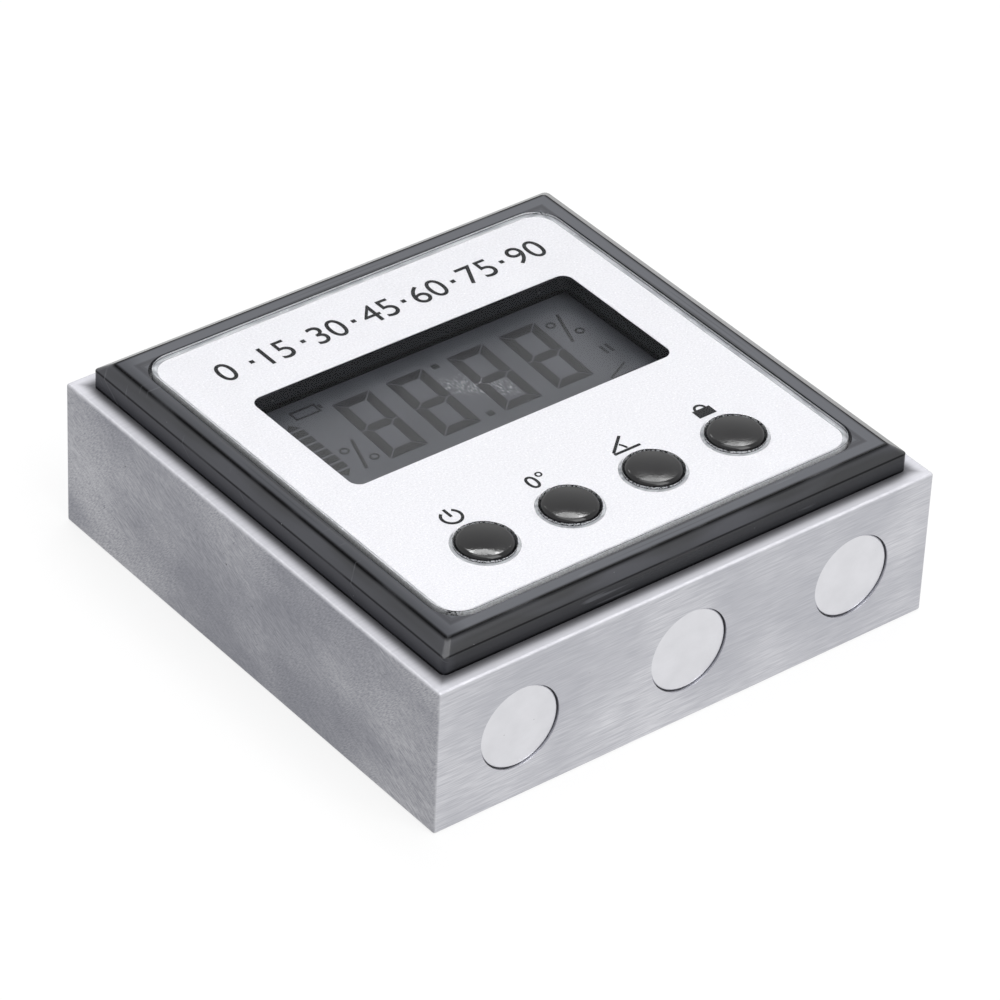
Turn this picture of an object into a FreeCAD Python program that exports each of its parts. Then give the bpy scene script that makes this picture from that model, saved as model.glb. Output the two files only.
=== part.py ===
import FreeCAD, Part
import Sketcher
import math
import os
from types import SimpleNamespace

# Pocket digital inclinometer: a machined steel frame with magnets in one edge, a moulded front
# with a clear lens over a printed face and a liquid crystal display, four push buttons, and a
# back cover that holds two size AAA cells behind a hinged door.
# The frame lies on its back: the display looks along +Z, the row of buttons is towards -Y and
# the magnets face -Y. The origin is the centre of the frame's back edge plane. Millimetres.

SIZES = {
    # steel frame
    "frame_side": 60.0,
    "frame_height": 16.5,
    "frame_wall": 4.4,
    "frame_inner_radius": 3.0,
    "frame_edge_radius": 0.3,
    "frame_rim_width": 3.0,
    "frame_rebate_radius": 2.0,
    # magnets, set in one edge of the frame
    "magnet_diameter": 9.0,
    "magnet_length": 3.0,
    "magnet_pitch_share": 0.3375,
    "magnet_gap": 0.1,
    "magnet_glue": 0.1,
    "magnet_set_back": 0.2,
    "magnet_edge_radius": 0.15,
    # moulded front bezel
    "bezel_ledge": 1.9,
    "bezel_border": 2.9,
    "bezel_wall_height": 1.9,
    "bezel_bevel_rise": 1.0,
    "bezel_bevel_run": 1.45,
    "bezel_corner_radius": 0.6,
    "bezel_rim_corner_radius": 0.5,
    "bezel_rim_radius": 0.2,
    "bezel_floor": 1.7,
    "lens_recess": 0.6,
    "skirt_wall": 1.0,
    "skirt_depth": 3.5,
    "skirt_gap": 0.15,
    "boss_diameter": 5.0,
    "boss_gap": 0.1,
    # lens, its printed face and the tape that holds both
    "lens_radius": 3.0,
    "lens_thickness": 0.6,
    "lens_gap": 0.35,
    "lens_edge_radius": 0.12,
    "print_border": 0.55,
    "print_thickness": 0.06,
    "print_gap": 0.04,
    "tape_thickness": 0.15,
    "tape_width": 3.0,
    # display window
    "window_width_share": 0.801,
    "window_height_share": 0.3545,
    "window_centre_share": 0.1132,
    "window_radius": 1.2,
    "window_margin": 0.3,
    # push buttons
    "button_pitch_share": 0.2042,
    "button_row_share": 0.345,
    "button_shift": 0.3,
    "button_travel": 0.3,
    "cap_diameter": 5.8,
    "cap_stand": 0.45,
    "cap_crown": 0.35,
    "cap_edge_radius": 0.5,
    "cap_guide_gap": 0.1,
    "cap_lens_gap": 0.15,
    "cap_print_gap": 0.5,
    "flange_share": 0.749,
    "flange_thickness": 0.6,
    "flange_gap": 0.05,
    "nub_diameter": 2.4,
    "nub_gap": 0.05,
    # push switches under the buttons
    "switch_share": 0.5125,
    "flange_stop_gap": 0.8,
    "switch_wall": 0.5,
    "switch_floor": 0.15,
    "switch_lid": 0.3,
    "stem_diameter": 2.0,
    "stem_gap": 0.1,
    "stem_foot_share": 0.76,
    "stem_foot": 0.25,
    "stem_foot_gap": 0.05,
    "snap_disc_share": 0.95,
    "snap_disc_thickness": 0.2,
    # liquid crystal display stack
    "display_room": 3.15,
    "display_drop": 1.0,
    "film_thickness": 0.15,
    "film_inset": 0.3,
    "film_margin": 0.7,
    "glass_thickness": 0.55,
    "glass_side_margin": 2.4,
    "rear_glass_margin": 0.4,
    "contact_ledge_share": 0.13,
    "holder_gap": 0.2,
    "holder_wall": 1.0,
    "holder_window_margin": 0.6,
    "holder_rest_gap": 0.05,
    "strip_inset": 1.5,
    "strip_width": 1.5,
    "strip_gap": 0.3,
    # circuit board and what it carries
    "board_thickness": 1.0,
    "board_gap": 0.15,
    "board_edge_gap": 0.2,
    "board_corner_gap": 0.65,
    "board_notch_width": 2.4,
    "board_notch_depth": 0.7,
    "post_diameter": 3.6,
    "post_inset": 2.8,
    "post_upper_share": 0.2474,
    "board_screw_diameter": 1.4,
    "board_screw_length": 3.3,
    "board_screw_head_diameter": 2.8,
    "board_screw_head": 0.9,
    "screw_slot_width": 0.5,
    "screw_slot_depth": 0.4,
    "screw_fit": 0.05,
    "screw_hole_gap": 0.2,
    "screw_tip_room": 0.5,
    "blob_share": 0.58,
    "blob_height": 1.3,
    "blob_offset": 4.0,
    "sensor_side": 3.0,
    "sensor_height": 1.0,
    "sensor_offset": 4.5,
    "crystal_diameter": 2.0,
    "crystal_length": 6.0,
    "parts_row_share": 0.56,
    "chip_length": 1.6,
    "chip_width": 0.8,
    "chip_height": 0.6,
    "chip_pitch": 3.4,
    "chip_row_gap": 1.1,
    # back cover, battery compartment and door
    "cover_recess": 0.3,
    "cover_thickness": 2.0,
    "cover_gap": 0.15,
    "cover_ceiling": 0.4,
    "cover_wall": 0.9,
    "case_screw_inset_share": 0.08,
    "case_screw_diameter": 2.0,
    "case_screw_length": 9.0,
    "case_screw_head_diameter": 4.2,
    "case_screw_sink": 0.2,
    "door_thickness": 1.4,
    "door_gap": 0.15,
    "door_seat_width": 1.1,
    "door_seat_gap": 0.05,
    "door_pin_radius": 0.4,
    "door_pin_length": 0.8,
    "door_pin_gap": 0.05,
    "door_latch_width": 16.0,
    "door_latch_length": 4.8,
    "door_slot_width": 0.6,
    "door_groove_width": 0.45,
    "door_groove_depth": 0.25,
    "door_groove_length": 12.0,
    "door_groove_pitch": 0.95,
    "catch_width": 2.0,
    "catch_reach": 0.1,
    "catch_drop": 0.1,
    "catch_height": 0.35,
    "catch_recess": 0.45,
    "catch_gap": 0.1,
    "notch_width": 10.0,
    "notch_length": 3.2,
    "notch_depth": 1.0,
    # size AAA cells and their contacts
    "bay_gap": 0.5,
    "cell_nub_diameter": 3.8,
    "cell_nub": 0.8,
    "cell_edge_radius": 0.4,
    "cell_spacing": 0.4,
    "cell_clearance": 0.1,
    "cell_side_gap": 0.25,
    "contact_thickness": 0.3,
    "contact_wall_gap": 0.05,
    "contact_touch_gap": 0.02,
    "contact_width_share": 0.667,
    "contact_height_share": 0.762,
    "contact_tail_width": 2.0,
    "contact_tail_proud": 0.4,
    "spring_room": 3.16,
    "spring_wire": 0.5,
    "spring_base_radius": 2.9,
    "spring_tip_radius": 1.8,
    # how far a cutting shape runs past the face that it opens, and how closely places must match
    "overrun": 1.0,
    "match": 0.0001,
}

CHIPS_IN_ROW = 7
SPRING_TURNS = 3
ARC_PAIRS_IN_TURN = 4
GROOVES = 4


class Size:
    """A length that carries its number and the sheet formula behind it."""

    def __init__(self, number, formula):
        self.number = number
        self.formula = formula

    def __add__(self, other):
        return Size(self.number + other.number, f"({self.formula} + {other.formula})")

    def __sub__(self, other):
        return Size(self.number - other.number, f"({self.formula} - {other.formula})")

    def __neg__(self):
        return Size(-self.number, f"(0 - {self.formula})")

    def __mul__(self, other):
        if isinstance(other, Size):
            return Size(self.number * other.number, f"({self.formula} * {other.formula})")
        return Size(self.number * other, f"({self.formula} * {other})")

    def __truediv__(self, other):
        if isinstance(other, Size):
            return Size(self.number / other.number, f"({self.formula} / {other.formula})")
        return Size(self.number / other, f"({self.formula} / {other})")


doc = FreeCAD.newDocument("Inclinometer")
sheet = doc.addObject("Spreadsheet::Sheet", "Sizes")
for row, (alias, value) in enumerate(SIZES.items(), 1):
    sheet.set(f"A{row}", alias)
    sheet.set(f"B{row}", str(value))
    sheet.setAlias(f"B{row}", alias)
doc.recompute()

s = SimpleNamespace(**{name: Size(value, f"Sizes.{name}") for name, value in SIZES.items()})
ZERO = Size(0.0, "0")
PIECES = []


# Helpers that bind document objects to the sheet

def bind(thing, path, length):
    """Tie one property of an object to a formula of the sheet."""
    thing.setExpression(path, length.formula)


def move(thing, x, y, z):
    """Put an object's origin at a point given in sizes."""
    bind(thing, "Placement.Base.x", x)
    bind(thing, "Placement.Base.y", y)
    bind(thing, "Placement.Base.z", z)
    return thing


def kept(thing, label):
    """Name an object as a finished piece of the product."""
    thing.Label = label
    PIECES.append(thing)
    return thing


def box(name, x, y, z):
    """A block between two sizes on each axis."""
    block = doc.addObject("Part::Box", name)
    bind(block, "Length", x[1] - x[0])
    bind(block, "Width", y[1] - y[0])
    bind(block, "Height", z[1] - z[0])
    return move(block, x[0], y[0], z[0])


def across(centre, width):
    """The two ends of a width laid evenly about a centre."""
    return (centre - width / 2, centre + width / 2)


TURNS = {
    "Z": FreeCAD.Rotation(),
    "X": FreeCAD.Rotation(FreeCAD.Vector(0, 1, 0), 90),
    "Y": FreeCAD.Rotation(FreeCAD.Vector(1, 0, 0), -90),
}


def rod(name, radius, start, length, axis="Z"):
    """A round bar from a start point along one axis."""
    bar = doc.addObject("Part::Cylinder", name)
    bar.Placement = FreeCAD.Placement(FreeCAD.Vector(), TURNS[axis])
    bind(bar, "Radius", radius)
    bind(bar, "Height", length)
    return move(bar, *start)


def cone(name, low_radius, high_radius, start, length):
    """An upright cone frustum."""
    taper = doc.addObject("Part::Cone", name)
    bind(taper, "Radius1", low_radius)
    bind(taper, "Radius2", high_radius)
    bind(taper, "Height", length)
    return move(taper, *start)


def dome(name, radius, rise, top, depth):
    """An upright round stub whose end is a shallow spherical crown; a negative depth hangs it."""
    ball_radius = (radius * radius + rise * rise) / (rise * 2)
    x, y, z = top
    ball = doc.addObject("Part::Sphere", name + "_ball")
    bind(ball, "Radius", ball_radius)
    if depth.number > 0:
        move(ball, x, y, z - ball_radius)
        stub = rod(name + "_stub", radius, (x, y, z - depth), depth + rise)
    else:
        move(ball, x, y, z + ball_radius)
        stub = rod(name + "_stub", radius, (x, y, z - rise), rise - depth)
    return common(name, stub, ball)


def fuse(name, parts):
    """One solid from several that touch or overlap."""
    whole = doc.addObject("Part::MultiFuse", name)
    whole.Shapes = parts
    return whole


def cut(name, base, tools):
    """A base with one or more shapes taken out of it."""
    result = doc.addObject("Part::Cut", name)
    result.Base = base
    result.Tool = tools[0] if len(tools) == 1 else group(name + "_tools", tools)
    return result


def common(name, first, second):
    """What two shapes share."""
    result = doc.addObject("Part::Common", name)
    result.Base = first
    result.Tool = second
    return result


def group(name, parts):
    """Separate solids under one name."""
    gathered = doc.addObject("Part::Compound", name)
    gathered.Links = parts
    return gathered


def rounded(name, base, picked, radius):
    """A solid with those of its edges rounded that the test picks."""
    doc.recompute()
    fillet = doc.addObject("Part::Fillet", name)
    fillet.Base = base
    chosen = [n for n, edge in enumerate(base.Shape.Edges, 1) if picked(edge)]
    fillet.Edges = [(n, radius.number, radius.number) for n in chosen]
    return fillet


def near(value, target):
    """True where a coordinate is the wanted one."""
    return abs(value - target) < s.match.number


def is_upright(edge):
    """True for a straight edge that stands along Z."""
    ends = [vertex.Point for vertex in edge.Vertexes]
    return len(ends) == 2 and near(ends[0].x, ends[1].x) and near(ends[0].y, ends[1].y)


def is_round(edge):
    """True for a circle or part of one."""
    return not edge.Degenerated and isinstance(edge.Curve, Part.Circle)


def is_circle(edge, radius, level):
    """True for a circle of a radius at a level."""
    return is_round(edge) and near(edge.Curve.Radius, radius.number) \
        and near(edge.Curve.Center.z, level.number)


# Outlines for sketches

def rectangle(x, y):
    """The four corners of a rectangle between two sizes on each axis."""
    return [(x[0], y[0]), (x[1], y[0]), (x[1], y[1]), (x[0], y[1])]


def square(side):
    """A square about the origin."""
    return rectangle(across(ZERO, side), across(ZERO, side))


def disc(x, y, radius):
    """A circle, told from an outline by its three sizes."""
    return SimpleNamespace(x=x, y=y, radius=radius)


def soft_square(side, radius):
    """A square about the origin with rounded corners."""
    return SimpleNamespace(half=side / 2, radius=radius)


def pin(sketch, geometry, point, x, y):
    """Hold a point of a sketch at its two distances from the origin."""
    for kind, length, axis in (("DistanceX", x, -2), ("DistanceY", y, -1)):
        if length.number == 0:
            sketch.addConstraint(Sketcher.Constraint("PointOnObject", geometry, point, axis))
        else:
            held = Sketcher.Constraint(kind, -1, 1, geometry, point, length.number)
            index = sketch.addConstraint(held)
            sketch.setExpression(f"Constraints[{index}]", length.formula)


def add_disc(sketch, loop):
    """Draw a circle with its centre and radius bound."""
    centre = FreeCAD.Vector(loop.x.number, loop.y.number, 0)
    index = sketch.addGeometry(Part.Circle(centre, FreeCAD.Vector(0, 0, 1), loop.radius.number))
    held = sketch.addConstraint(Sketcher.Constraint("Radius", index, loop.radius.number))
    sketch.setExpression(f"Constraints[{held}]", loop.radius.formula)
    pin(sketch, index, 3, loop.x, loop.y)


def add_outline(sketch, points):
    """Draw a closed outline with every corner bound."""
    first = sketch.GeometryCount
    spots = [FreeCAD.Vector(x.number, y.number, 0) for x, y in points]
    for k, spot in enumerate(spots):
        sketch.addGeometry(Part.LineSegment(spot, spots[(k + 1) % len(spots)]))
    for k in range(len(points)):
        after = first + (k + 1) % len(points)
        sketch.addConstraint(Sketcher.Constraint("Coincident", first + k, 2, after, 1))
    for k, (x, y) in enumerate(points):
        pin(sketch, first + k, 1, x, y)


def add_soft_square(sketch, loop):
    """Draw a rounded square: four sides with both ends bound, and an arc from each to the next."""
    flat = loop.half - loop.radius
    sides = [(-flat, -loop.half, flat, -loop.half), (loop.half, -flat, loop.half, flat),
             (flat, loop.half, -flat, loop.half), (-loop.half, flat, -loop.half, -flat)]
    middles = [(flat, -flat), (flat, flat), (-flat, flat), (-flat, -flat)]
    first = sketch.GeometryCount
    for k, (x1, y1, x2, y2) in enumerate(sides):
        start = FreeCAD.Vector(x1.number, y1.number, 0)
        end = FreeCAD.Vector(x2.number, y2.number, 0)
        sketch.addGeometry(Part.LineSegment(start, end))
        pin(sketch, first + k, 1, x1, y1)
        pin(sketch, first + k, 2, x2, y2)
    for k, (x, y) in enumerate(middles):
        centre = FreeCAD.Vector(x.number, y.number, 0)
        circle = Part.Circle(centre, FreeCAD.Vector(0, 0, 1), loop.radius.number)
        turn = math.pi / 2
        arc = sketch.addGeometry(Part.ArcOfCircle(circle, turn * (k - 1), turn * k))
        held = sketch.addConstraint(Sketcher.Constraint("Radius", arc, loop.radius.number))
        sketch.setExpression(f"Constraints[{held}]", loop.radius.formula)
        after = first + (k + 1) % len(sides)
        sketch.addConstraint(Sketcher.Constraint("Coincident", arc, 1, first + k, 2))
        sketch.addConstraint(Sketcher.Constraint("Coincident", arc, 2, after, 1))


class Moulding:
    """A body made of pads and pockets on level outlines, then rounded or chamfered."""

    def __init__(self, label):
        self.body = kept(doc.addObject("PartDesign::Body", label), label)

    def sketch(self, loops, level, role):
        """A sketch on one of the body's own planes, raised to a level."""
        drawn = self.body.newObject("Sketcher::SketchObject", self.body.Name + "_outline")
        plane = [f for f in self.body.Origin.OriginFeatures if f.Role == role][0]
        drawn.AttachmentSupport = [(plane, "")]
        drawn.MapMode = "FlatFace"
        bind(drawn, "AttachmentOffset.Base.z", level)
        for loop in loops:
            if isinstance(loop, list):
                add_outline(drawn, loop)
            elif hasattr(loop, "half"):
                add_soft_square(drawn, loop)
            else:
                add_disc(drawn, loop)
        return drawn

    def feature(self, kind, loops, level, length, role="XY_Plane"):
        """A pad upwards from, or a pocket downwards from, a level."""
        drawn = self.sketch(loops, level, role)
        made = self.body.newObject("PartDesign::" + kind, self.body.Name + "_" + kind.lower())
        made.Profile = drawn
        bind(made, "Length", length)
        return made

    def pad(self, loops, low, high):
        """Add material between two levels."""
        return self.feature("Pad", loops, low, high - low)

    def taper(self, lower, upper, low, high):
        """Add material that runs straight from one outline to another above it."""
        first = self.sketch([lower], low, "XY_Plane")
        last = self.sketch([upper], high, "XY_Plane")
        made = self.body.newObject("PartDesign::AdditiveLoft", self.body.Name + "_taper")
        made.Profile = first
        made.Sections = [last]
        made.Ruled = True
        return made

    def pocket(self, loops, low, high):
        """Take material away between two levels."""
        return self.feature("Pocket", loops, high, high - low)

    def side_bar(self, kind, loops, length):
        """A pad or pocket along X, even about the middle plane."""
        made = self.feature(kind, loops, ZERO, length, "YZ_Plane")
        made.Midplane = True
        return made

    def dress(self, kind, picked, size):
        """Round or chamfer the edges that the test picks."""
        doc.recompute()
        base = self.body.Tip
        made = self.body.newObject("PartDesign::" + kind, self.body.Name + "_" + kind.lower())
        names = [f"Edge{n}" for n, edge in enumerate(base.Shape.Edges, 1) if picked(edge)]
        made.Base = (base, names)
        bind(made, "Radius" if kind == "Fillet" else "Size", size)
        return made

    def round_corners(self, x, y, radius):
        """Round the upright edges that stand at plus or minus x and y."""
        def corner(edge):
            point = edge.Vertexes[0].Point
            return is_upright(edge) and near(abs(point.x), abs(x.number)) \
                and near(abs(point.y), abs(y.number))
        return self.dress("Fillet", corner, radius)


# Levels and places worked out from the sizes

half_frame = s.frame_side / 2
frame_bore = s.frame_side - s.frame_wall * 2
rebate_side = s.frame_side - s.frame_rim_width * 2
magnet_pitch = s.frame_side * s.magnet_pitch_share
cover_top = s.cover_recess + s.cover_thickness

bezel_side = s.frame_side - s.bezel_ledge * 2
recess_side = bezel_side - s.bezel_border * 2
lens_side = recess_side - s.lens_gap * 2
print_side = lens_side - s.print_border * 2
bevel_level = s.frame_height + s.bezel_wall_height
rim_level = bevel_level + s.bezel_bevel_rise
seat_level = rim_level - s.lens_recess
floor_level = seat_level - s.bezel_floor
print_level = seat_level + s.tape_thickness
print_top = print_level + s.print_thickness
lens_level = print_top + s.print_gap
lens_top = lens_level + s.lens_thickness

skirt_side = frame_bore - s.skirt_gap * 2
skirt_inner = skirt_side - s.skirt_wall * 2
skirt_level = s.frame_height - s.skirt_depth

board_top = floor_level - s.display_room
board_level = board_top - s.board_thickness
board_side = skirt_inner - s.board_edge_gap * 2
compartment_top = board_level - s.board_gap
ceiling_level = compartment_top - s.cover_ceiling

door_inner = s.cover_recess + s.door_thickness
door_ledge = door_inner + s.door_seat_gap
cell_diameter = ceiling_level - door_inner - s.cell_clearance * 2
cell_level = door_inner + s.cell_clearance + cell_diameter / 2
cell_step = (cell_diameter + s.cell_spacing) / 2
bay_length = frame_bore - (s.cover_wall + s.bay_gap) * 2
bay_width = cell_diameter * 2 + s.cell_spacing + s.cell_side_gap * 2
bay_half = bay_width / 2 + s.cover_wall
contact_stack = s.contact_wall_gap + s.contact_thickness + s.contact_touch_gap
cell_length = bay_length - contact_stack * 2 - s.spring_room

door_space = bay_width + s.door_seat_width * 2
door_room = bay_length + s.door_seat_width * 2
free_edge = s.door_gap - door_space / 2
catch_top = door_inner - s.catch_drop
catch_level = catch_top - s.catch_height
catch_x = [(s.door_latch_width - s.catch_width) / 2 * way for way in (-1, 1)]
hinge_radius = s.door_thickness / 2
hinge_y = door_space / 2 - s.door_gap - hinge_radius
hinge_z = s.cover_recess + hinge_radius

window_width = print_side * s.window_width_share
window_height = print_side * s.window_height_share
window_centre = print_side * s.window_centre_share
glass_width = window_width + s.glass_side_margin * 2
rear_glass_height = window_height + s.rear_glass_margin * 2
glass_height = rear_glass_height + window_height * s.contact_ledge_share * 2
display_top = floor_level - s.display_drop
glass_top = display_top - s.film_thickness
glass_level = glass_top - s.glass_thickness
rear_glass_level = glass_level - s.glass_thickness

flange_top = floor_level - s.flange_gap
flange_level = flange_top - s.flange_thickness
switch_top = flange_level - s.button_travel - s.flange_stop_gap
stem_top = (flange_level + switch_top) / 2 - s.nub_gap * 2
nub_level = stem_top + s.nub_gap
cap_top = lens_top + s.cap_stand

button_pitch = lens_side * s.button_pitch_share
button_x = [s.button_shift + button_pitch * step for step in (-1.5, -0.5, 0.5, 1.5)]
button_y = -(lens_side * s.button_row_share)
flange_diameter = button_pitch * s.flange_share
switch_side = button_pitch * s.switch_share
switch_inner = switch_side - s.switch_wall * 2
stem_foot_diameter = switch_inner * s.stem_foot_share
screw_reach = frame_bore / 2 - frame_bore * s.case_screw_inset_share
case_screw_spots = [(screw_reach * i, screw_reach * j) for i in (-1, 1) for j in (-1, 1)]
board_corner_cut = board_side / 2 - screw_reach + s.boss_diameter / 2 + s.board_corner_gap
post_y = board_side / 2 - s.post_inset
post_upper_x = board_side * s.post_upper_share
post_spots = [(s.button_shift + button_pitch * i, -post_y) for i in (-1, 1)] \
    + [(post_upper_x * i, post_y) for i in (-1, 1)]
parts_strip = board_side / 2 - bay_half
parts_row = -(bay_half + parts_strip * s.parts_row_share)
chip_row = bay_half + s.chip_row_gap


def steel_frame():
    """The machined ring that everything else is set in."""
    frame = Moulding("steel_frame")
    frame.pad([square(s.frame_side), square(frame_bore)], ZERO, s.frame_height)
    frame.round_corners(frame_bore / 2, frame_bore / 2, s.frame_inner_radius)
    frame.pocket([square(rebate_side)], ZERO, cover_top)
    frame.round_corners(rebate_side / 2, rebate_side / 2, s.frame_rebate_radius)

    def outer(edge):
        return all(near(max(abs(v.X), abs(v.Y)), half_frame.number) for v in edge.Vertexes)
    frame.dress("Fillet", outer, s.frame_edge_radius)
    radius = s.magnet_diameter / 2 + s.magnet_gap
    spots = [disc(magnet_pitch * step, s.frame_height / 2, radius) for step in (-1, 0, 1)]
    depth = s.magnet_set_back + s.magnet_length + s.magnet_glue
    pockets = frame.feature("Pocket", spots, half_frame, depth, "XZ_Plane")
    pockets.Reversed = False


def magnets():
    """Three round magnets that sit a hair below the frame's edge."""
    for name, step in (("left", -1), ("middle", 0), ("right", 1)):
        start = (magnet_pitch * step, s.magnet_set_back - half_frame, s.frame_height / 2)
        blank = rod("magnet_blank_" + name, s.magnet_diameter / 2, start, s.magnet_length, "Y")
        chamfer = rounded("magnet_edge_" + name, blank, is_round, s.magnet_edge_radius)
        kept(chamfer, "magnet_" + name)


def front_bezel():
    """The moulded front: rim, lens seat, skirt, screw bosses and board posts."""
    bezel = Moulding("front_bezel")
    wall = soft_square(bezel_side, s.bezel_corner_radius)
    rim = soft_square(bezel_side - s.bezel_bevel_run * 2, s.bezel_rim_corner_radius)
    bezel.pad([wall], s.frame_height, bevel_level)
    bezel.taper(wall, rim, bevel_level, rim_level)

    def top_edge(edge):
        return all(near(v.Z, rim_level.number) for v in edge.Vertexes)
    bezel.dress("Fillet", top_edge, s.bezel_rim_radius)
    bezel.pocket([square(recess_side)], seat_level, rim_level)
    bezel.round_corners(recess_side / 2, recess_side / 2, s.lens_radius + s.lens_gap)
    bezel.pocket([square(skirt_inner)], s.frame_height, floor_level)
    bezel.pad([square(skirt_side), square(skirt_inner)], skirt_level, s.frame_height)
    outer_radius = s.frame_inner_radius - s.skirt_gap
    bezel.round_corners(skirt_side / 2, skirt_side / 2, outer_radius)
    inner_radius = outer_radius - s.skirt_wall
    bezel.round_corners(skirt_inner / 2, skirt_inner / 2, inner_radius)
    boss_level = cover_top + s.boss_gap
    bosses = [disc(x, y, s.boss_diameter / 2) for x, y in case_screw_spots]
    bezel.pad(bosses, boss_level, floor_level)
    bezel.pad([disc(x, y, s.post_diameter / 2) for x, y in post_spots], board_top, floor_level)
    margin = s.window_margin
    width = window_width + margin * 2
    height = window_height + margin * 2
    window = rectangle(across(ZERO, width), across(window_centre, height))
    bezel.pocket([window], floor_level, seat_level)

    for way in (-1, 1):
        bezel.round_corners(width / 2, window_centre + height / 2 * way,
                            s.window_radius + margin)
    guide = s.cap_diameter / 2 + s.cap_guide_gap
    bezel.pocket([disc(x, button_y, guide) for x in button_x], floor_level, seat_level)
    pilot = s.case_screw_diameter / 2 + s.screw_fit
    pilot_top = s.cover_recess + s.case_screw_sink + s.case_screw_length + s.screw_tip_room
    bezel.pocket([disc(x, y, pilot) for x, y in case_screw_spots], boss_level, pilot_top)
    board_pilot = s.board_screw_diameter / 2 + s.screw_fit
    board_pilot_top = board_level + s.board_screw_length + s.screw_tip_room
    bezel.pocket([disc(x, y, board_pilot) for x, y in post_spots], board_top, board_pilot_top)


def printed_window():
    """The display opening of the printed face, with its centre line on the display's."""
    return rectangle(across(ZERO, window_width), across(window_centre, window_height))


def lens_and_face():
    """The clear lens, the printed face behind it and the ring of tape that holds them."""
    lens = Moulding("face_lens")
    hole = s.cap_diameter / 2 + s.cap_lens_gap
    holes = [disc(x, button_y, hole) for x in button_x]
    lens.pad([square(lens_side)] + holes, lens_level, lens_top)
    lens.round_corners(lens_side / 2, lens_side / 2, s.lens_radius)

    def top_edge(edge):
        return all(near(v.Z, lens_top.number) for v in edge.Vertexes)
    lens.dress("Fillet", top_edge, s.lens_edge_radius)

    face = Moulding("face_print")
    hole = s.cap_diameter / 2 + s.cap_print_gap
    holes = [disc(x, button_y, hole) for x in button_x]
    face.pad([square(print_side), printed_window()] + holes, print_level, print_top)
    face.round_corners(print_side / 2, print_side / 2, s.lens_radius - s.print_border)
    face.round_corners(window_width / 2, window_centre - window_height / 2, s.window_radius)
    face.round_corners(window_width / 2, window_centre + window_height / 2, s.window_radius)

    tape = Moulding("lens_tape")
    inner = print_side - s.tape_width * 2
    tape.pad([square(print_side), square(inner)], seat_level, print_level)
    tape.round_corners(print_side / 2, print_side / 2, s.lens_radius - s.print_border)


def button(name, x):
    """A push button's cap: a shallow crown on a round shank, a flange and an actuating nub."""
    shank = dome(name + "_shank", s.cap_diameter / 2, s.cap_crown, (x, button_y, cap_top),
                 cap_top - flange_top)
    doc.recompute()
    shoulder_level = cap_top - s.cap_crown
    eased = rounded(name + "_eased", shank,
                    lambda edge: is_circle(edge, s.cap_diameter / 2, shoulder_level),
                    s.cap_edge_radius)
    flange = rod(name + "_flange", flange_diameter / 2, (x, button_y, flange_level),
                 s.flange_thickness)
    nub = rod(name + "_nub", s.nub_diameter / 2, (x, button_y, nub_level),
              flange_level - nub_level)
    kept(fuse(name + "_cap", [eased, flange, nub]), name)


def switch_stem(name, x):
    """The moving stem of one push switch, with the foot that keeps it in."""
    foot_top = switch_top - s.switch_lid - s.stem_foot_gap
    foot_level = foot_top - s.stem_foot
    foot = rod(name + "_foot", stem_foot_diameter / 2, (x, button_y, foot_level), s.stem_foot)
    stem = rod(name + "_shaft", s.stem_diameter / 2, (x, button_y, foot_level),
               stem_top - foot_level)
    kept(fuse(name + "_whole", [foot, stem]), name)


def switches():
    """The four switch housings and the snap discs inside them."""
    housings = []
    discs = []
    for n, x in enumerate(button_x):
        block = box(f"switch_block_{n}", across(x, switch_side), across(button_y, switch_side),
                    (board_top, switch_top))
        cavity_level = board_top + s.switch_floor
        cavity = box(f"switch_cavity_{n}", across(x, switch_inner),
                     across(button_y, switch_inner), (cavity_level, switch_top - s.switch_lid))
        bore = rod(f"switch_bore_{n}", s.stem_diameter / 2 + s.stem_gap,
                   (x, button_y, cavity_level), (switch_top - board_top))
        housings.append(cut(f"switch_housing_{n}", block, [cavity, bore]))
        discs.append(rod(f"snap_disc_{n}", switch_inner * s.snap_disc_share / 2,
                         (x, button_y, cavity_level), s.snap_disc_thickness))
    kept(group("switch_housing_group", housings), "switch_bodies")
    kept(group("snap_disc_group", discs), "switch_snap_discs")


def display():
    """The display's two glasses and films, the contact strips and the holder round them."""
    def sheet_of(name, width, height, low, high):
        kept(box(name + "_sheet", across(ZERO, width), across(window_centre, height),
                 (low, high)), name)
    sheet_of("lcd_polariser", glass_width - s.film_inset * 2,
             window_height + s.film_margin * 2, glass_top, display_top)
    sheet_of("lcd_front_glass", glass_width, glass_height, glass_level, glass_top)
    sheet_of("lcd_rear_glass", glass_width, rear_glass_height, rear_glass_level, glass_level)
    sheet_of("lcd_reflector", glass_width - s.film_inset * 2,
             rear_glass_height - s.film_inset * 2,
             rear_glass_level - s.film_thickness, rear_glass_level)

    reach = rear_glass_height / 2 + s.strip_gap + s.strip_width / 2
    for name, way in (("lower", -1), ("upper", 1)):
        centre = window_centre + reach * way
        strip = box("strip_" + name, across(ZERO, glass_width - s.strip_inset * 2),
                    across(centre, s.strip_width), (board_top, glass_level))
        kept(strip, "contact_strip_" + name)

    holder = Moulding("lcd_holder")
    inside = rectangle(across(ZERO, glass_width + s.holder_gap * 2),
                       across(window_centre, glass_height + s.holder_gap * 2))
    skin = (s.holder_gap + s.holder_wall) * 2
    outside = rectangle(across(ZERO, glass_width + skin),
                        across(window_centre, glass_height + skin))
    open_width = window_width + s.holder_window_margin * 2
    open_height = window_height + s.holder_window_margin * 2
    opening = rectangle(across(ZERO, open_width), across(window_centre, open_height))
    lip_level = display_top + s.holder_rest_gap
    holder.pad([outside, inside], board_top, lip_level)
    holder.pad([outside, opening], lip_level, floor_level - s.holder_rest_gap)


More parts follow.
